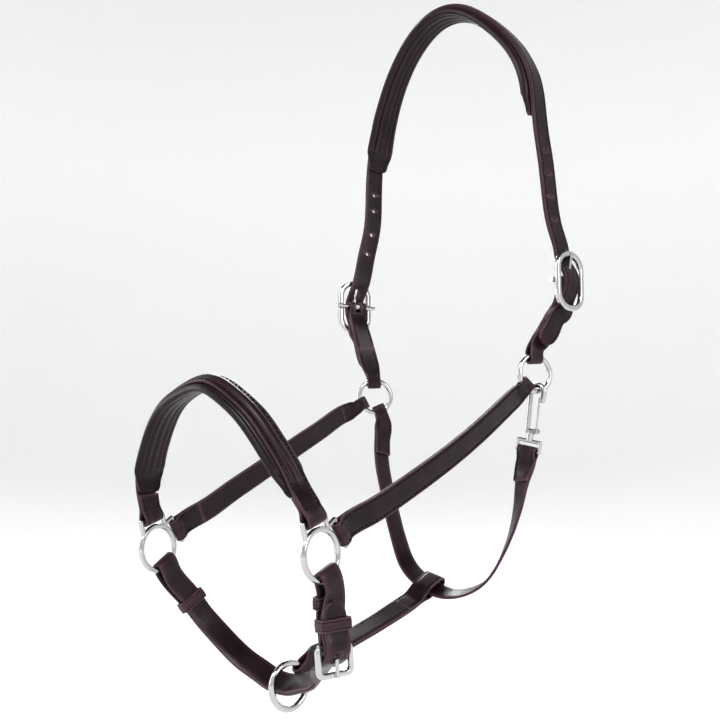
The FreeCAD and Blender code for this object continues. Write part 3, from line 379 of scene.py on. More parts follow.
def layer_profile(width, thick, crease=True):
    """A leather layer's outline: rounded edges and a crease line beside each one, as (across, out)."""
    half = width / 2
    high = thick / 2
    edge = min(0.36 * thick, 0.8)
    line = min(1.55, 0.3 * width)
    rim = [(-half, high - edge), (-half + 0.3 * edge, high - 0.3 * edge), (-half + edge, high)]
    groove = [(-half + line - 0.35, high), (-half + line, high - 0.36), (-half + line + 0.35, high)]
    crown = [(-half * 0.5, high + 0.04), (0.0, high + 0.05)]
    top = rim + (groove if crease else []) + crown
    top += [(-u, v) for u, v in reversed(top[:-1])]
    bottom = rim + crown
    bottom += [(-u, v) for u, v in reversed(bottom[:-1])]
    bottom = [(u, -v) for u, v in reversed(bottom)]
    return top + bottom


def pad_profile(width, thick, share):
    """A stuffed pad's outline: rolled edges beside the strap and sewn channels on the inner face."""
    half = width / 2
    count = 34
    top = []
    bottom = []
    for k in range(count + 1):
        angle = math.pi * k / count
        u = -half * math.cos(angle)
        round_off = max(1.0 - (abs(u) / half) ** 4.0, 0.0) ** 0.5
        groove = 1.5 * math.exp(-((abs(u) - WIDTH / 2 - 0.5) / 0.75) ** 2)
        roll = 1.0 * math.exp(-((abs(u) - WIDTH / 2 - 2.9) / 1.7) ** 2)
        sewn = 1.7 * math.exp(-((abs(u) - 3.1) / 0.62) ** 2) + 1.9 * math.exp(
            -((abs(u) - WIDTH / 2 - 0.2) / 0.7) ** 2)
        outer = (thick / 2 - groove * share + roll * share) * round_off
        inner = (-thick / 2 + sewn * share) * round_off
        inner = thick / 2 - (thick / 2 - inner) * (0.3 + 0.7 * share)
        top.append((u, min(outer, thick / 2) if abs(u) < WIDTH / 2 + 0.2 else outer))
        bottom.append((u, min(inner, outer)))
    return top + bottom[-2:0:-1]


def sweep(name, stations, profile, step=1.6):
    """A strip with an outline that may change along it, and with softened ends."""
    fine = finely(stations, step)

    def end_ring(here, past):
        tip = here.point + here.along * past
        narrow = 1 - 0.8 / here.width
        return [tip + here.side * (u * narrow) + here.out * (v * 0.7) for u, v in profile(here)]

    rings = [end_ring(fine[0], -END_REACH)]
    for here in fine:
        rings.append([here.point + here.side * u + here.out * v for u, v in profile(here)])
    rings.append(end_ring(fine[-1], END_REACH))
    return make(name, rings)


def dress(obj, material, slot, *nodes, body=ROOT):
    """Give a piece its material and its body, and hide the CAD nodes it stands for."""
    obj.data.materials.clear()
    obj.data.materials.append(material)
    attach(obj, body)
    if nodes:
        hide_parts(*nodes)
    return obj


def block(placement, length, width, height, x=0.0, y=0.0, z=0.0):
    """A box-shaped cutting tool about a local point of a placement."""
    shape = bmesh.new()
    bmesh.ops.create_cube(shape, size=1.0)
    for vert in shape.verts:
        local = Vector((x + vert.co.x * length, y + vert.co.y * width, z + vert.co.z * height))
        vert.co = (placement @ local) * MM
    return shape


def punch(placement, radius, height):
    """A round cutting tool about a placement's Z axis."""
    shape = bmesh.new()
    bmesh.ops.create_cone(shape, cap_ends=True, segments=28, radius1=radius, radius2=radius,
                          depth=height)
    for vert in shape.verts:
        vert.co = (placement @ vert.co) * MM
    return shape


def cut(obj, tools, crossing=False):
    """Take the tools out of a piece. Crossing is for a piece whose own walls cross."""
    joined = bmesh.new()
    for tool in tools:
        mesh = bpy.data.meshes.new("tool")
        bmesh.ops.recalc_face_normals(tool, faces=tool.faces)
        tool.to_mesh(mesh)
        tool.free()
        joined.from_mesh(mesh)
        bpy.data.meshes.remove(mesh)
    mesh = bpy.data.meshes.new("tools")
    joined.to_mesh(mesh)
    joined.free()
    cutter = add("tools", mesh)
    modifier = obj.modifiers.new("cut", "BOOLEAN")
    modifier.operation = "DIFFERENCE"
    modifier.solver = "EXACT"
    modifier.use_self = crossing
    modifier.object = cutter
    graph = bpy.context.evaluated_depsgraph_get()
    result = bpy.data.meshes.new_from_object(obj.evaluated_get(graph))
    obj.modifiers.clear()
    obj.data = result
    bpy.data.objects.remove(cutter)
    bpy.data.meshes.remove(mesh)
    smooth(result, 40)


class Thread:
    """All the stitches, gathered into one mesh."""

    def __init__(self):
        self.shape = bmesh.new()
        self.number = 0

    def stitch(self, point, along, side, out, length, radius):
        """One stitch: a short thread, sunk at both ends."""
        slant = along * math.cos(0.12) + side * math.sin(0.12)
        cross = out.cross(slant).normalized()
        rings = []
        for share, lift, size in ((-1.0, -0.42, 0.55), (-0.7, 0.0, 0.9), (0.0, 0.12, 1.0),
                                  (0.7, 0.0, 0.9), (1.0, -0.42, 0.55)):
            centre = point + slant * (share * length / 2) + out * (lift * radius * 2)
            rings.append([self.shape.verts.new((centre + cross * (math.cos(a) * radius * size)
                                                + out * (math.sin(a) * radius * size)) * MM)
                          for a in (math.radians(60 * k) for k in range(6))])
        skin(self.shape, rings)
        self.shape.faces.new(rings[0])
        self.shape.faces.new(rings[-1][::-1])

    def row(self, stations, across, lift, start, end, pitch=3.3, length=2.4, radius=0.42):
        """A row of stitches along a strap, between two distances."""
        fine = finely(stations, 1.0)
        face = 1 if lift > 0 else -1
        distance = start
        index = 0
        while distance < end:
            while index < len(fine) - 1 and fine[index + 1].distance < distance:
                index += 1
            here = fine[index]
            jitter = 0.05 * noise.noise(Vector((self.number * 0.37, 0.2, 0.5)))
            inset = across(here) if callable(across) else across
            point = here.point + here.side * (inset + jitter) + here.out * lift
            self.stitch(point, here.along, here.side, here.out * face, length, radius)
            self.number += 1
            distance += pitch

    def finish(self, name):
        """The gathered stitches as one piece."""
        return solid(name, self.shape)


def following(across):
    """A stitch row's place across a strap, drawn in where the strap narrows."""
    return lambda here: across * min(here.width / WIDTH, 1.0)


# ---------------------------------------------------------------- materials
def nodes_of(material):
    """A material's node tree and its surface shader."""
    material.use_nodes = True
    tree = material.node_tree
    shader = tree.nodes["Principled BSDF"]
    return tree, shader


def join(tree, start, start_name, end, end_name):
    """Link two node sockets."""
    tree.links.new(start.outputs[start_name], end.inputs[end_name])


def settle(node, values):
    """Set a node's input sockets by name."""
    for socket, value in values.items():
        node.inputs[socket].default_value = value
    return node


def texture(tree, where, kind, values):
    """A texture node in the object's own coordinates."""
    node = settle(tree.nodes.new(kind), values)
    join(tree, where, "Object", node, "Vector")
    return node


def emboss(tree, shader, source, output, strength, distance):
    """Turn a node's output into bump on the shader."""
    node = settle(tree.nodes.new("ShaderNodeBump"), {"Strength": strength, "Distance": distance})
    join(tree, source, output, node, "Height")
    join(tree, node, "Normal", shader, "Normal")


def leather(name, dark, light, rough, grain=900.0, bump=0.00035):
    """Dyed bridle leather: fine pebbled grain, uneven dye, and a painted highlight on its rounded edges."""
    material = bpy.data.materials.new(name)
    tree, shader = nodes_of(material)
    where = tree.nodes.new("ShaderNodeTexCoord")
    cells = texture(tree, where, "ShaderNodeTexVoronoi", {"Scale": grain, "Randomness": 1.0})
    cells.feature = "SMOOTH_F1"
    fine = texture(tree, where, "ShaderNodeTexNoise",
                   {"Scale": grain * 0.7, "Detail": 6.0, "Roughness": 0.65})
    dye = texture(tree, where, "ShaderNodeTexNoise", {"Scale": 55.0, "Detail": 5.0})
    height = tree.nodes.new("ShaderNodeMath")
    height.operation = "MULTIPLY_ADD"
    height.inputs[1].default_value = 0.6
    join(tree, cells, "Distance", height, 0)
    join(tree, fine, "Fac", height, 2)
    emboss(tree, shader, height, "Value", 0.55, bump)
    shades = tree.nodes.new("ShaderNodeValToRGB")
    for stop, position, color in zip(shades.color_ramp.elements, (0.32, 0.72), (dark, light)):
        stop.position = position
        stop.color = (*color, 1)
    join(tree, dye, "Fac", shades, "Fac")
    # Painted highlight: pointy places along the rounded edges are mixed towards a pale colour, seven times
    # the light dye, for light caught on the edges.
    edge = settle(tree.nodes.new("ShaderNodeMapRange"), {"From Min": 0.51, "From Max": 0.58, "To Max": 0.7})
    join(tree, tree.nodes.new("ShaderNodeNewGeometry"), "Pointiness", edge, "Value")
    painted_edge_highlight = tree.nodes.new("ShaderNodeMixRGB")
    painted_edge_highlight.inputs["Color2"].default_value = tuple(min(7.0 * c, 1.0) for c in light) + (1,)
    join(tree, edge, "Result", painted_edge_highlight, "Fac")
    join(tree, shades, "Color", painted_edge_highlight, "Color1")
    join(tree, painted_edge_highlight, "Color", shader, "Base Color")
    gloss = settle(tree.nodes.new("ShaderNodeMapRange"), {"To Min": rough - 0.07, "To Max": rough + 0.12})
    join(tree, fine, "Fac", gloss, "Value")
    join(tree, gloss, "Result", shader, "Roughness")
    settle(shader, {"Coat Weight": 0.16, "Coat Roughness": 0.24, "Specular IOR Level": 0.1})
    return material


def steel(name, tone, rough):
    """Polished steel: bright, with faint hairlines and handling marks."""
    material = bpy.data.materials.new(name)
    tree, shader = nodes_of(material)
    where = tree.nodes.new("ShaderNodeTexCoord")
    marks = texture(tree, where, "ShaderNodeTexNoise", {"Scale": 320.0, "Detail": 8.0, "Roughness": 0.7})
    cloud = texture(tree, where, "ShaderNodeTexNoise", {"Scale": 90.0, "Detail": 3.0})
    gloss = settle(tree.nodes.new("ShaderNodeMapRange"), {
        "From Min": 0.3, "From Max": 0.7, "To Min": rough - 0.05, "To Max": rough + 0.09})
    join(tree, cloud, "Fac", gloss, "Value")
    join(tree, gloss, "Result", shader, "Roughness")
    emboss(tree, shader, marks, "Fac", 0.12, 0.00006)
    settle(shader, {"Base Color": (*tone, 1), "Metallic": 1.0})
    return material


def cloth_thread(name, tone):
    """Waxed thread."""
    material = bpy.data.materials.new(name)
    tree, shader = nodes_of(material)
    where = tree.nodes.new("ShaderNodeTexCoord")
    ply = texture(tree, where, "ShaderNodeTexNoise", {"Scale": 3800.0})
    emboss(tree, shader, ply, "Fac", 0.5, 0.0001)
    settle(shader, {"Base Color": (*tone, 1), "Roughness": 0.7, "Specular IOR Level": 0.1})
    return material


STRAP = leather("strap_leather_look", (0.0065, 0.0028, 0.0038), (0.0165, 0.0072, 0.0094), 0.32)
LINING = leather("lining_leather_look", (0.0075, 0.0035, 0.0045), (0.0175, 0.0084, 0.0104), 0.43)
PAD = leather("pad_leather_look", (0.006, 0.0028, 0.0037), (0.015, 0.0072, 0.009), 0.36, 620.0, 0.0005)
RIDGE = leather("ridge_leather_look", (0.006, 0.0027, 0.0036), (0.0145, 0.0067, 0.0085), 0.29)
POLISHED = steel("polished_steel_look", (0.50, 0.495, 0.49), 0.10)
TONGUE = steel("tongue_steel_look", (0.48, 0.475, 0.47), 0.12)
SNAP_LOOK = steel("snap_steel_look", (0.47, 0.465, 0.46), 0.15)
THREAD_LOOK = cloth_thread("thread_look", (0.0025, 0.0018, 0.002))
thread = Thread()


def layer(thick, crease=True):
    """The outline maker of a leather layer."""
    return lambda here: layer_profile(here.width, thick, crease)


def strap(label, stations, thick):
    """A strap of one leather layer."""
    dress(sweep(label, stations, layer(thick)), STRAP, "strap_leather", label)


def lining(label, stations):
    """The uncreased inner layer of a two-layer strap."""
    dress(sweep(label, stations, layer(TWIN, False)), LINING, "lining_leather", label)


# ---------------------------------------------------------------- where things are
def ring_frame(centre, outward):
    """A ring's frame: Z outward, Y up, X rearward on the near side."""
    outward = Vector(outward).normalized()
    return columns(Vector(centre), UP.cross(outward).normalized(), UP, outward)


def around(placement, degrees, radius, rear):
    """Point, direction and tangent on a ring, degrees from its top towards the rear."""
    angle = math.radians(degrees)
    direction = turn(placement, math.sin(angle) * rear, math.cos(angle), 0)
    tangent = turn(placement, math.cos(angle) * rear, -math.sin(angle), 0)
    return placement.translation + direction * radius, direction, tangent


def like(vector, model):
    """The vector or its opposite, whichever points more nearly along the model."""
    return vector if vector.dot(Vector(model)) > 0 else vector * -1


NEAR_RING = ring_frame((86.0, -4.2, -340.0), (0.92, -0.39, 0))
FAR_RING = ring_frame((-86.0, -6.7, -346.7), (-0.72, 0.69, 0))
NEAR_SIDE = ring_frame((83.0, -251.5, -478.0), (1, 0.05, 0))
FAR_SIDE = ring_frame((-83.0, -251.5, -478.0), (-1, -0.12, 0))
NEAR_BUCKLE = axes((104.0, 20.8, -261.3), (0.174, 0.985, 0), (0.985, -0.174, -0.01))
FAR_BUCKLE = axes((-104.0, -13.6, -260.2), (-0.375, -0.927, 0), (-0.927, 0.375, 0))
LEAD_CENTRE = Vector((0, -197.2, -572.6))
LEAD_RING = axes(LEAD_CENTRE, (0.08, 1, 0), (1, -0.08, 0))
NEAR_HOLES = (-147.5, -167.5, -187.5, -207.5)
FAR_HOLES = (-147.5, -165.5, -187.5, -207.5)
NOSE_SLOT = -18.0
CHEEK_SLOT = 55.0


# ---------------------------------------------------------------- buckle chapes
def buckle_pass(placement, lean):
    """The crown strap's way down through its buckle, leaning sideways at the top."""
    points = []
    for across, along, out in ((lean, 25, -3.7), (0.7 * lean, 20, -3.3), (0.3 * lean, 11, 1.5),
                               (0, 0, 5.1), (0, -11, 1.5), (0, -20, -2.4), (0, -25, -3.0)):
        points.append((place(placement, across, along, out), turn(placement, 1, 0, 0)))
    return points


def buckle_chape(label, placement, ring_place, degrees, rear):
    """The chape: a strap round the buckle's bar and round the ring below it."""
    wire, pull, tangent = around(ring_place, degrees, RING_RADIUS - FOLD_IN, rear)
    bar_side = turn(placement, 1, 0, 0)
    side = like(tangent * rear, bar_side)
    low = place(placement, 0, -20, -8.0)
    reach = wire + pull * 5 - low
    middle = route([
        (place(placement, 0, 0, -1.5), bar_side * -1),
        (place(placement, 0, -4, -2.4), bar_side * -1),
        (place(placement, 0, -11, -4.3), bar_side * -1),
        (low, bar_side * -1),
        (low + reach * 0.35, bar_side * -0.8 - side * 0.2),
        (low + reach * 0.7, bar_side * -0.4 - side * 0.6),
        (wire + pull * 5, side * -1),
        (wire, side * -1),
    ], 2.5)
    if middle[0].out.dot(turn(placement, 0, 0, 1)) < 0:
        flipped(middle)
    half = middle[-1].distance * 0.55
    back = (half - 0.3, middle[-1].distance - half - 0.3)
    stations = folded(middle, SINGLE, BAR_FOLD, RING_FOLD, back, (None, FOLD_WIDTH))
    obj = sweep(label, stations, layer(SINGLE))
    cut(obj, [block(placement, 5.0, 13.0, 14.0, 0, 0.5, -2)])
    dress(obj, STRAP, "strap_leather", label)
    total = stations[-1].distance
    for across in CHAPE_SEAMS:
        thread.row(stations, across, ON_SINGLE, 4.0, 0.17 * total)
        thread.row(stations, following(across), ON_SINGLE, 0.80 * total, total - 4.0)
    return middle


NEAR_CHAPE = buckle_chape("near_buckle_chape", NEAR_BUCKLE, NEAR_RING, 0.0, 1)
FAR_CHAPE = buckle_chape("far_buckle_chape", FAR_BUCKLE, FAR_RING, -4.0, -1)


# ---------------------------------------------------------------- crown
def tail(middle, start, end):
    """The crown strap's tail, lying on the chape below its buckle."""
    lift = SINGLE + GAP / 2 + 1.0 + TWIN + GAP / 2
    points = []
    for distance in start, (start + end) / 2, end:
        here = at(middle, distance)
        points.append((here.point + here.out * lift, here.side.copy()))
    return points


CROWN_NEAR = [
    ((98.0, 14.0, -215.0), (-0.17, -0.98, 0)),
    ((96.4, 10, -191.3), (-0.17, -0.98, 0)),
    ((95.2, 6, -154.1), (-0.17, -0.98, 0)),
    ((93.8, 3, -130.7), (-0.14, -0.99, 0)),
    ((93.2, 1, -108.0), (-0.1, -0.99, 0)),
    ((90.6, 0, -84.3), (-0.05, -1, 0)),
    ((83.2, 0, -64.1), (0, -1, 0)),
    ((73.3, 0, -46.8), (0, -1, 0)),
    ((58.4, 0, -28.1), (0, -1, 0)),
    ((37.3, 0, -7.6), (0, -1, 0)),
]
CROWN_FAR = [
    ((8.8, 0, 8.0), (0, -1, 0)),
    ((-17, 0, 8.0), (0, -1, 0)),
    ((-40.1, 0, -4.4), (0, -1, 0)),
    ((-57.6, 0, -23.2), (0, -1, 0)),
    ((-73.8, 1, -49.7), (-0.05, -1, 0)),
    ((-87.2, 3, -83.3), (-0.15, -0.98, 0)),
    ((-93.6, 4, -111.8), (-0.25, -0.97, 0)),
    ((-96.1, 4, -141.2), (-0.33, -0.94, 0)),
    ((-97.4, 2, -184.7), (-0.37, -0.93, 0)),
    ((-99.6, -3.5, -211.0), (-0.37, -0.93, 0)),
]
crown_line = (tail(NEAR_CHAPE, 30.0, 62.0)[::-1] + buckle_pass(NEAR_BUCKLE, -1.5)[::-1] + CROWN_NEAR
              + CROWN_FAR + buckle_pass(FAR_BUCKLE, -4.5) + tail(FAR_CHAPE, 30.0, 62.0))
CROWN = route(even_sides(crown_line), 4.0)
if at(CROWN, CROWN[-1].distance / 2).out.z < 0:
    flipped(CROWN)


def on_crown(height, side_sign):
    """The crown strap's station at a height, on the near (1) or far (-1) side."""
    return min((here for here in CROWN if here.point.x * side_sign > 0),
               key=lambda here: abs(here.point.z - height))


def crown_tools():
    """Cutting tools for the buckle holes and the tongue's slots."""
    tools = []
    for heights, sign in ((NEAR_HOLES, 1), (FAR_HOLES, -1)):
        for height in heights:
            best = on_crown(height, sign)
            through = columns(best.point, best.side, best.out.cross(best.side), best.out)
            tools.append(punch(through, 1.9, 12))
    for placement in (NEAR_BUCKLE, FAR_BUCKLE):
        tools.append(block(placement, 3.8, 15.0, 14.0, 0, 9.6, 2.0))
    return tools


for label, lift, look, face in (("crown_strap", (TWIN + GAP) / 2, STRAP, 1),
                                ("crown_lining", -(TWIN + GAP) / 2, LINING, -1)):
    stations = pointed(pointed(offset(CROWN, lift)), from_start=True)
    piece = sweep(label, stations, layer(TWIN, face == 1))
    cut(piece, crown_tools())
    dress(piece, look, label.replace("crown_", "") + "_leather", label)
    length = CROWN[-1].distance
    for across in SEAMS:
        thread.row(stations, following(across), face * ON_TWIN, 4.0, length - 4.0)


# ---------------------------------------------------------------- pads
def uneven(here, amount=0.25):
    """A slow unevenness along a stuffed piece."""
    return amount * noise.noise(here.point * 0.045)


def pad(label, stations, thick):
    """A stuffed pad that ends in flat tabs."""
    total = stations[-1].distance - stations[0].distance
    begin = stations[0].distance

    def outline(here):
        near_end = min(here.distance - begin, begin + total - here.distance)
        share = smoothstep((near_end - 9.0) / 12.0)
        wide = here.width * (0.72 + 0.28 * smoothstep((near_end - 3.0) / 16.0))
        wide *= 1.0 - 0.22 * (1.0 - min(near_end / 4.0, 1.0)) ** 2
        return pad_profile(wide + uneven(here), thick + uneven(here, 0.1) * share, share)

    piece = sweep(label, stations, outline, 1.8)
    dress(piece, PAD, "padding", label)


pad("crown_pad", offset(CROWN, -(TWIN + GAP + 4.0 + GAP), on_crown(-117.5, 1).distance,
                        on_crown(-125.5, -1).distance, 28.5), 8.0)


# ---------------------------------------------------------------- cheek straps
def slot_bar(placement, degrees, rear):
    """A slot bar's centre, its direction from the ring and its own line."""
    return around(placement, degrees, SLOT_REACH, rear)


def cheek(side_name, upper, lower, rear, degrees, between, side):
    """A two-layer cheek strap from an upper ring to a side fitting's rear slot."""
    wire, pull, tangent = around(upper, degrees, RING_RADIUS - FOLD_IN, rear)
    slot, out, line = slot_bar(lower, CHEEK_SLOT, rear)
    tangent = like(tangent, side)
    line = like(line, side)
    points = [(wire, tangent), (wire + pull * 5, tangent)]
    points += [(point, side) for point in between]
    points += [(slot + out * 7, line), (slot, line)]
    middle = route(points, 2.5)
    if middle[len(middle) // 2].out.x * rear < 0:
        flipped(middle)
    stations = folded(middle, TWIN, RING_FOLD, SLOT_FOLD, (30.0, 24.0), (FOLD_WIDTH - 0.6, None))
    strap(f"{side_name}_cheek_strap", stations, TWIN)
    inner = offset(middle, -(TWIN + GAP) / 2, 30.6, middle[-1].distance - 24.6)
    lining(f"{side_name}_cheek_lining", inner)
    total = stations[-1].distance
    for across in SEAMS:
        follow = following(across)
        thread.row(stations, follow, ON_TWIN, 3.0, 24.0)
        thread.row(stations, follow, ON_TWIN, 47.0, total - 34.0)
        thread.row(stations, follow, ON_TWIN, total - 21.0, total - 2.0)
        thread.row(inner, across, -ON_TWIN, inner[0].distance + 1.5, inner[-1].distance - 1.0)
    return middle


NEAR_CHEEK = cheek("near", NEAR_RING, NEAR_SIDE, 1, -138.0,
                   [(82.6, -27.0, -360.0), (84.6, -43.6, -368.6), (86.6, -68, -382), (88, -95.3, -396.9),
                    (88.4, -143.2, -421.4), (86.6, -182.0, -440.4), (84.4, -210.0, -453.0)],
                   (0, -0.485, 0.874))
FAR_CHEEK = cheek("far", FAR_RING, FAR_SIDE, -1, -119.0,
                  [(-97.4, -23.5, -358.4), (-95.4, -41, -364.8), (-91.5, -67, -377.3), (-88.5, -93.6, -390.4),
                   (-87, -150.0, -420.5), (-85.4, -184.0, -438.2), (-84.0, -210.0, -451.8)],
                  (0, -0.485, 0.874))


# ---------------------------------------------------------------- noseband
def noseband():
    """The noseband's line round the nose, from the near fitting's front slot to the far one."""
    near_slot, near_out, near_line = slot_bar(NEAR_SIDE, NOSE_SLOT, 1)
    far_slot, far_out, far_line = slot_bar(FAR_SIDE, NOSE_SLOT, -1)
    side = (0, -0.96, -0.27)
    near_line = like(near_line, side)
    far_line = like(far_line, side)
    points = [(near_slot, near_line), (near_slot + near_out * 6 - Vector((0.6, 0, 0)), near_line)]
    points += [(point, side) for point in (
        (76.1, -261.2, -441.0), (67.6, -264, -425.4), (55, -268, -406.1), (41.8, -271, -389.6),
        (24.2, -273, -375.4), (1.5, -274, -364.3), (-25.4, -273, -366.8), (-50.1, -271, -376.8),
        (-71.8, -267, -400.4), (-83.2, -263.5, -428.8))]
    points += [(far_slot + far_out * 6 + Vector((0.3, 0, 0)), far_line), (far_slot, far_line)]
    middle = route(points, 2.5)
    if at(middle, middle[-1].distance / 2).out.z < 0:
        flipped(middle)
    return middle


NOSE = noseband()
NOSE_LENGTH = NOSE[-1].distance
nose_stations = folded(NOSE, SINGLE, SLOT_FOLD, SLOT_FOLD, (17.0, 17.0))
strap("noseband_strap", nose_stations, SINGLE)
nose_total = nose_stations[-1].distance
for across in SEAMS:
    thread.row(nose_stations, across, ON_SINGLE, 2.0, 13.0)
    thread.row(nose_stations, across, ON_SINGLE, 34.0, nose_total - 34.0)
    thread.row(nose_stations, across, ON_SINGLE, nose_total - 13.0, nose_total - 2.0)
pad("noseband_pad", offset(NOSE, -(3.3 + GAP), 19.0, NOSE_LENGTH - 19.0, 27.0), 6.6)


def ridge():
    """The raised ridge: a stuffed cord under a strip of leather, with a groove down each side."""
    stations = offset(NOSE, SINGLE + 2 * GAP + 1.1, 24.0, NOSE_LENGTH - 24.0, 8.0)
    begin = stations[0].distance
    end = stations[-1].distance

    def outline(here):
        near_end = min(here.distance - begin, end - here.distance)
        share = math.sqrt(max(1.0 - (1.0 - min(near_end / 5.0, 1.0)) ** 2, 0.02))
        wide = 4.0 * (0.25 + 0.75 * share)
        top = []
        for u, v in ((-1.0, -1.1), (-1.0, -0.75), (-0.93, -0.55), (-0.84, -0.62), (-0.76, -0.3),
                     (-0.6, 0.45), (-0.38, 0.92), (-0.18, 1.12), (0.0, 1.18)):
            top.append((u * wide, -1.1 + (v + 1.1) * (0.35 + 0.65 * share)))
        top += [(-u, v) for u, v in reversed(top[:-1])]
        return top

    piece = sweep("noseband_ridge", stations, outline, 1.2)
    dress(piece, RIDGE, "ridge_leather", "noseband_ridge")


ridge()

# ---------------------------------------------------------------- chin strap
CHIN_FOLD = 2.0 + 0.45 + SINGLE / 2
CHIN_BAR = Vector((84.4, -241.4, -533.6))
CHIN_BUCKLE = axes(CHIN_BAR, (0.258, 0.962, 0.091), (0.966, -0.259, 0))
CHIN_BAR_FOLD = 2.1 + 0.15 + SINGLE / 2
BILLET = ((-14.6, -13.0), (-11.4, -4.5), (-8.2, 1.4), (-3.2, 5.7), (3.5, 6.1),
          (9.0, 4.6), (14.0, 4.0), (20.0, 3.95), (27.5, 4.4))


def arc_points(centre, past, out, radius, side, turns):
    """Points of a fold: angles from the outward side round past the wire."""
    return [(centre + past * (radius * math.sin(math.radians(a)))
             + out * (radius * math.cos(math.radians(a))), side) for a in turns]


def chin_route():
    """The chin strap's one long line, from its buckle round both fittings to its billet."""
    up = turn(CHIN_BUCKLE, 0, 1, 0)
    out = turn(CHIN_BUCKLE, 0, 0, 1)
    bar_side = turn(CHIN_BUCKLE, 1, 0, 0)
    near_wire, near_pull, near_line = around(NEAR_SIDE, 155.0, SIDE_RADIUS - 2.6, 1)
    far_wire, far_pull, far_line = around(FAR_SIDE, 147.0, SIDE_RADIUS - 2.6, -1)
    near_out = turn(NEAR_SIDE, 0, 0, 1)
    far_out = turn(FAR_SIDE, 0, 0, 1)
    near_line = like(near_line, (0, 1, 0))
    far_line = like(far_line, (0, 1, 0))
    layers = (SINGLE + GAP) / 2
    points = []
    for along in (15.0, 9.0):
        points.append((CHIN_BAR + up * along - out * layers, bar_side))
    points += arc_points(CHIN_BAR, up * -1, out, CHIN_BAR_FOLD, bar_side, (200, 165, 125, 90, 55, 15, -20))
    for along in (9.0, 15.0):
        points.append((CHIN_BAR + up * along + out * layers, bar_side))
    points.append((near_wire + near_pull * 9 + near_out * CHIN_FOLD, near_line))
    points += arc_points(near_wire, near_pull * -1, near_out, CHIN_FOLD, near_line,
                         (0, 30, 60, 90, 120, 150, 180))
    inner = [
        (near_wire + near_pull * 8 - near_out * CHIN_FOLD, (0.05, 0.93, 0.36)),
        ((76.0, -238.6, -515.6), (0.15, 0.93, 0.3)),
        ((73.4, -234.4, -526.5), (0.15, 0.92, 0.35)),
        ((68.4, -229.2, -537.9), (0.1, 0.88, 0.45)),
        ((59.5, -223.0, -549.0), (0.05, 0.82, 0.55)),
        ((42, -213.4, -560.3), (0, 0.78, 0.62)),
        ((21, -205.3, -566.2), (0, 0.77, 0.63)),
        ((0, -198.8, -570.6), (0, 0.77, 0.64)),
        ((-14, -199.8, -568.8), (0, 0.77, 0.64)),
        ((-26, -200.4, -564.2), (0, 0.77, 0.64)),
        ((-38, -202.6, -558.6), (0, 0.77, 0.64)),
        ((-49, -205.0, -551.6), (0, 0.78, 0.62)),
        ((-58.5, -208.2, -543.4), (0, 0.79, 0.62)),
        ((-67, -212.4, -534.4), (0, 0.82, 0.58)),
        ((-73.6, -218.0, -524.6), (0, 0.86, 0.52)),
        ((-77.6, -225.0, -513.4), (0, 0.88, 0.46)),
    ]
    points += inner
    points.append((far_wire + far_pull * 9 - far_out * (CHIN_FOLD - 0.4), far_line))
    points += arc_points(far_wire, far_pull * -1, far_out * -1, CHIN_FOLD, far_line,
                         (0, 30, 60, 90, 120, 150, 180))
    points.append((far_wire + far_pull * 9 + far_out * (CHIN_FOLD - 0.4), far_line))
    outer = route(inner, 8.0)
    down = 1 if at(outer, outer[-1].distance / 2).out.z < 0 else -1
    apart = SINGLE + 0.25
    for here in reversed(outer[2:-1]):
        if here.point.x < 56.0:
            points.append((here.point + here.out * (apart * down), here.side))
    for along, lift in BILLET:
        points.append((CHIN_BAR + up * along + out * lift, bar_side))
    return even_sides(points)


def close_route(points, step):
    """Stations on a smooth line, closer where the points are close."""
    lengths = [0.0]
    for (start, side), (end, other) in zip(points, points[1:]):
        lengths.append(lengths[-1] + (Vector(end) - Vector(start)).length)
    curve = spline(lengths, [Vector(point) for point, side in points])
    stations = []
    for index in range(len(points) - 1):
        span = lengths[index + 1] - lengths[index]
        count = max(int(round(span / step)), 1) if span > step else 1
        for k in range(count):
            share = k / count
            side = Vector(points[index][1]) * (1 - share) + Vector(points[index + 1][1]) * share
            stations.append(Station(curve(lengths[index] + span * share), side.normalized()))
    stations.append(Station(points[-1][0], points[-1][1]))
    return orient(measure(stations))


CHIN = close_route(chin_route(), 5.0)
chin_stations = pointed(CHIN, 10.0)
chin_strap = sweep("chin_strap", chin_stations, layer(SINGLE))
cut(chin_strap, [block(CHIN_BUCKLE, 4.6, 9.0, 12.0, 0, -1.5, 0),
                 block(CHIN_BUCKLE, 3.4, 9.5, 7.5, 0, -7.2, 3.4)], crossing=True)
dress(chin_strap, STRAP, "strap_leather", "chin_strap")


def keeper(label, placement, inner_x, inner_z):
    """A leather loop round the straps at a place, its length along local Y."""
    wall = 1.8
    half_x = (inner_x + wall) / 2
    half_z = (inner_z + wall) / 2
    corner = min(1.7, half_z - 0.1)
    side = turn(placement, 0, 1, 0)
    rings = []
    for sign_x, sign_z, start in ((1, 1, 0), (-1, 1, 90), (-1, -1, 180), (1, -1, 270)):
        for k in range(7):
            angle = math.radians(start + 15 * k)
            point = place(placement, sign_x * (half_x - corner) + corner * math.cos(angle), 0,
                          sign_z * (half_z - corner) + corner * math.sin(angle))
            out = turn(placement, math.cos(angle), 0, math.sin(angle))
            rings.append([point + side * u + out * v for u, v in layer_profile(KEEPER_WIDTH, wall)])
    dress(make(label, rings, closed=True), STRAP, "keeper_leather", label)


def keeper_frame(point, along, out):
    """A keeper's frame: Y along the strap, Z outward."""
    along = along.normalized()
    out = square_to(out, along)
    return columns(point, along.cross(out), along, out)


def keeper_on(label, point, across, gap):
    """A keeper round the chin strap's layers at the station nearest to a point."""
    here = min(CHIN, key=lambda station: (station.point - point).length)
    mate = min((other for other in CHIN if abs(other.distance - here.distance) > 30.0),
               key=lambda station: (station.point - here.point).length)
    middle = (here.point + mate.point) / 2 if gap > SINGLE * 2 else here.point
    keeper(label, keeper_frame(middle, here.along, here.out), across, gap)


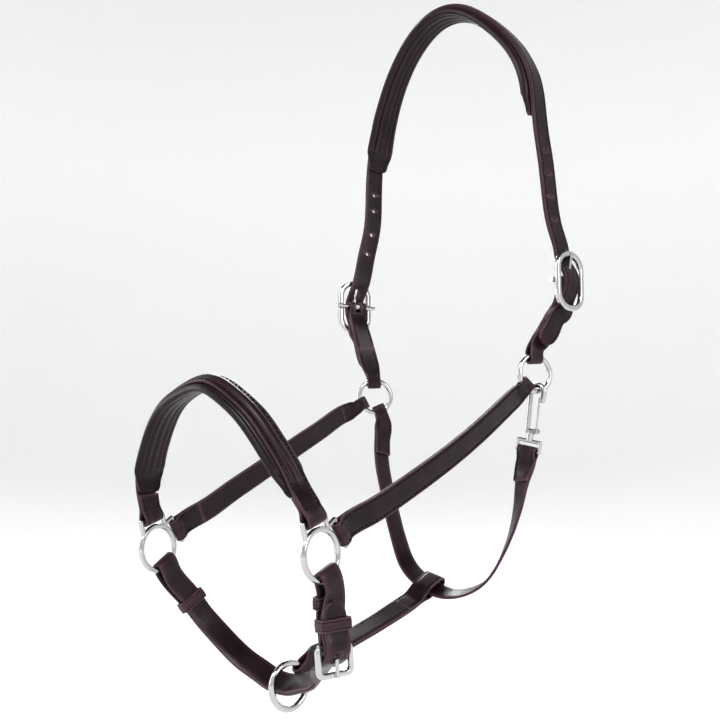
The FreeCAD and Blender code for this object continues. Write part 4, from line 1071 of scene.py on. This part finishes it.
chin_up = turn(CHIN_BUCKLE, 0, 1, 0)
chin_face = turn(CHIN_BUCKLE, 0, 0, 1)
keeper("chin_keeper", keeper_frame(CHIN_BAR + chin_up * 13.4 + chin_face * 1.7, chin_up, chin_face),
       KEEPER_ROOM, 9.2)
keeper_on("near_chin_keeper", Vector((76.8, -240.5, -508.5)), KEEPER_ROOM, SINGLE + 0.9)
keeper_on("far_chin_keeper", Vector((-77.0, -223.5, -516.0)), KEEPER_ROOM, 2 * SINGLE + 2.2)

# ---------------------------------------------------------------- throat strap
hook_wire = around(NEAR_RING, 171.0, RING_RADIUS, 1)[0]
snap_up = Vector((0.226, -0.01, 0.974)).normalized()
SNAP_SEAT = 48.2 + 6.1 - 2.2 - RING_WIRE - 0.7
SNAP = axes(hook_wire - snap_up * SNAP_SEAT, (0.974, 0.05, -0.226), (0.05, -0.9987, 0))
snap_face = square_to(turn(SNAP, 0, 0, 1), snap_up)
SNAP = columns(SNAP.translation.copy(), snap_up.cross(snap_face), snap_up, snap_face)


def throat_route():
    """The throat strap's line, from the far upper ring down through the rear loop, up to the snap."""
    wire, pull, line = around(FAR_RING, 161.0, RING_RADIUS - FOLD_IN, -1)
    line = like(line, (0, 1, 0))
    eye = SNAP.translation
    drop = turn(SNAP, 0, -1, 0)
    eye_line = turn(SNAP, -1, 0, 0)
    points = [(wire, line), (wire + pull * 9, line)]
    points += [
        ((-82.5, -0.5, -386.5), (0.1, 0.99, 0.05)),
        ((-75, -6.2, -418.0), (0.05, 1, 0.1)),
        ((-66, -10.7, -437.4), (0, 1, 0.12)),
        ((-50, -20.9, -462.6), (0, 0.97, 0.2)),
        ((-40, -26.0, -478.6), (0, 0.95, 0.27)),
        ((-24, -32.6, -498.4), (0, 0.92, 0.38)),
        ((-11.5, -35.2, -506.6), (0, 0.91, 0.42)),
        ((-1, -36.6, -511.6), (0, 0.91, 0.42)),
        ((9.5, -37.5, -515.4), (0, 0.91, 0.42)),
        ((23.1, -34, -517.4), (0, 0.95, 0.3)),
        ((34.5, -28, -514.5), (-0.1, 0.95, 0.3)),
        ((44, -23, -508.6), (-0.25, 0.92, 0.25)),
        ((52.2, -19, -497.5), (-0.4, 0.88, 0.2)),
        ((58.2, -16, -484.9), (-0.52, 0.83, 0.15)),
        ((62.8, -13, -472.1), (-0.62, 0.77, 0.1)),
        ((66.7, -11, -458.8), (-0.72, 0.68, 0.12)),
        ((69.4, -9, -445.2), (-0.82, 0.55, 0.14)),
        ((71.2, -7, -431.5), (-0.9, 0.4, 0.16)),
    ]
    points += [(eye + drop * 9, eye_line), (eye, eye_line)]
    return points


THROAT = route(throat_route(), 2.5)
if at(THROAT, THROAT[-1].distance * 0.1).out.x > 0:
    flipped(THROAT)
throat_stations = folded(THROAT, SINGLE, RING_FOLD, (1.6 + 0.35, 1.0), (42.0, 26.0),
                         (FOLD_WIDTH - 0.6, None))
strap("throat_strap", throat_stations, SINGLE)
throat_total = throat_stations[-1].distance
for across in SEAMS:
    follow = following(across)
    thread.row(throat_stations, follow, ON_SINGLE, 3.0, 34.0)
    thread.row(throat_stations, follow, ON_SINGLE, 62.0, 94.0)
    thread.row(throat_stations, follow, ON_SINGLE, throat_total - 22.0, throat_total - 2.0)
    thread.row(throat_stations, follow, ON_SINGLE, throat_total - 58.0, throat_total - 38.0)


# ---------------------------------------------------------------- connecting strap
def connecting():
    """The strap under the jaw, from the lead ring back to its loop round the throat strap."""
    angle = math.radians(40.0)
    pull = turn(LEAD_RING, math.cos(angle), math.sin(angle), 0)
    wire = LEAD_CENTRE + pull * (LEAD_RADIUS - 1.4)
    line = turn(LEAD_RING, math.sin(angle), -math.cos(angle), 0)
    loop_side = Vector((0.91, -0.08, -0.40))
    loop_end = Vector((-1.2, -36.6 + 7.4 * 0.91, -511.6 + 7.4 * 0.42))
    loop_along = Vector((0.0, 0.908, 0.419))
    points = [
        (wire, line),
        (wire + pull * 8, line),
        ((0, -163.5, -553.5), (0.8, 0.19, -0.57)),
        ((0, -145.7, -549.0), (0.93, 0.11, -0.34)),
        ((0, -124.9, -543.4), (0.94, 0.1, -0.32)),
        ((0, -100.1, -536.0), (0.93, 0.1, -0.34)),
        ((0, -77.2, -528.4), (0.9, 0.12, -0.4)),
        (loop_end - loop_along * 26 - Vector((0, 0, 0.6)), loop_side),
        (loop_end - loop_along * 13, loop_side),
        (loop_end, loop_side),
    ]
    return route(points, 2.5)


CONNECT = connecting()
if at(CONNECT, CONNECT[-1].distance / 2).out.z > 0:
    flipped(CONNECT)
connect_stations = folded(CONNECT, TWIN, (2.4 + 0.7, 4.2), (SINGLE / 2 + 2.1, 18.8), (34.0, 46.0),
                          (FOLD_WIDTH - 1.6, None))
strap("connecting_strap", connect_stations, TWIN)
connect_inner = offset(CONNECT, -(TWIN + GAP) / 2, 34.6, CONNECT[-1].distance - 46.6)
lining("connecting_lining", connect_inner)
connect_total = connect_stations[-1].distance
for across in SEAMS:
    follow = following(across)
    thread.row(connect_stations, follow, ON_TWIN, 3.0, 26.0)
    thread.row(connect_stations, follow, ON_TWIN, 52.0, connect_total - 78.0)
    thread.row(connect_stations, follow, ON_TWIN, connect_total - 30.0, connect_total - 2.0)
    thread.row(connect_inner, across, -ON_TWIN, connect_inner[0].distance + 1.5,
               connect_inner[-1].distance - 1.0)

stitching = thread.finish("stitching")
dress(stitching, THREAD_LOOK, "strap_leather")

# ---------------------------------------------------------------- metal
# The first word found in a metal node's name picks its look.
METAL = {"tongue": TONGUE, "snap": SNAP_LOOK, "buckle": POLISHED, "ring": POLISHED, "fitting": POLISHED}
for node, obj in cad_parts.items():
    if "chape" in node:
        continue
    for word, look in METAL.items():
        if word in node:
            for material_slot in obj.material_slots:
                material_slot.material = look
            break


# ---------------------------------------------------------------- floor, light and camera
def studio():
    """A pale round floor that curves up into a wall. From the side its bend shows as a change of tone."""
    shape = bmesh.new()
    outline = [(0.02, 0.0), (1.6, 0.0), (2.2, 0.0)]
    outline += [(2.2 + 1.8 * math.sin(math.radians(a)), 1.8 - 1.8 * math.cos(math.radians(a)))
                for a in range(6, 91, 6)]
    outline.append((4.0, 4.6))
    spokes = 96
    rows = []
    for radius, height in outline:
        row = []
        for k in range(spokes):
            angle = math.tau * k / spokes
            point = (radius * math.cos(angle), radius * math.sin(angle) - 0.13, height - 0.64)
            row.append(shape.verts.new(point))
        rows.append(row)
    skin(shape, rows)
    shape.faces.new(rows[0])
    floor = solid("floor", shape)
    material = bpy.data.materials.new("floor_look")
    tree, shader = nodes_of(material)
    settle(shader, {"Base Color": (0.93, 0.93, 0.93, 1), "Roughness": 0.9,
                    "Emission Color": (1, 1, 1, 1), "Emission Strength": 0.18})
    floor.data.materials.append(material)


def lamp(name, place_at, size, power):
    """A large soft light turned to the middle of the object."""
    data = bpy.data.lights.new(name, "AREA")
    data.shape = "RECTANGLE"
    data.size, data.size_y = size
    data.energy = power
    obj = add(name, data)
    obj.location = place_at
    obj.rotation_euler = (Vector((0, -0.1, -0.3)) - Vector(place_at)).to_track_quat("-Z", "Y").to_euler()


studio()
lamp("key", (0.4, -1.9, 1.3), (0.9, 0.6), 32)
lamp("side", (2.0, -0.2, 0.5), (0.5, 1.4), 17)
lamp("back", (-1.5, 1.4, 1.1), (1.0, 0.7), 27)
lamp("left", (-1.7, -1.2, 0.2), (0.35, 1.4), 15)
world = bpy.data.worlds.new("studio")
bpy.context.scene.world = world
world.use_nodes = True
settle(world.node_tree.nodes["Background"], {"Color": (0.92, 0.96, 1.0, 1), "Strength": 0.08})

camera_data = bpy.data.cameras.new("camera")
camera_data.lens = 50
camera_data.sensor_width = 36
camera = add("camera", camera_data)
forward = Vector((-0.6619, 0.7351, 0.1464)).normalized()
right = square_to(Vector((0.7431, 0.6691, 0)), forward)
camera.matrix_world = columns(Vector((0.5237, -0.7047, -0.4491)), right, right.cross(forward), forward * -1)
bpy.context.scene.camera = camera
bpy.context.scene.view_settings.view_transform = "Standard"
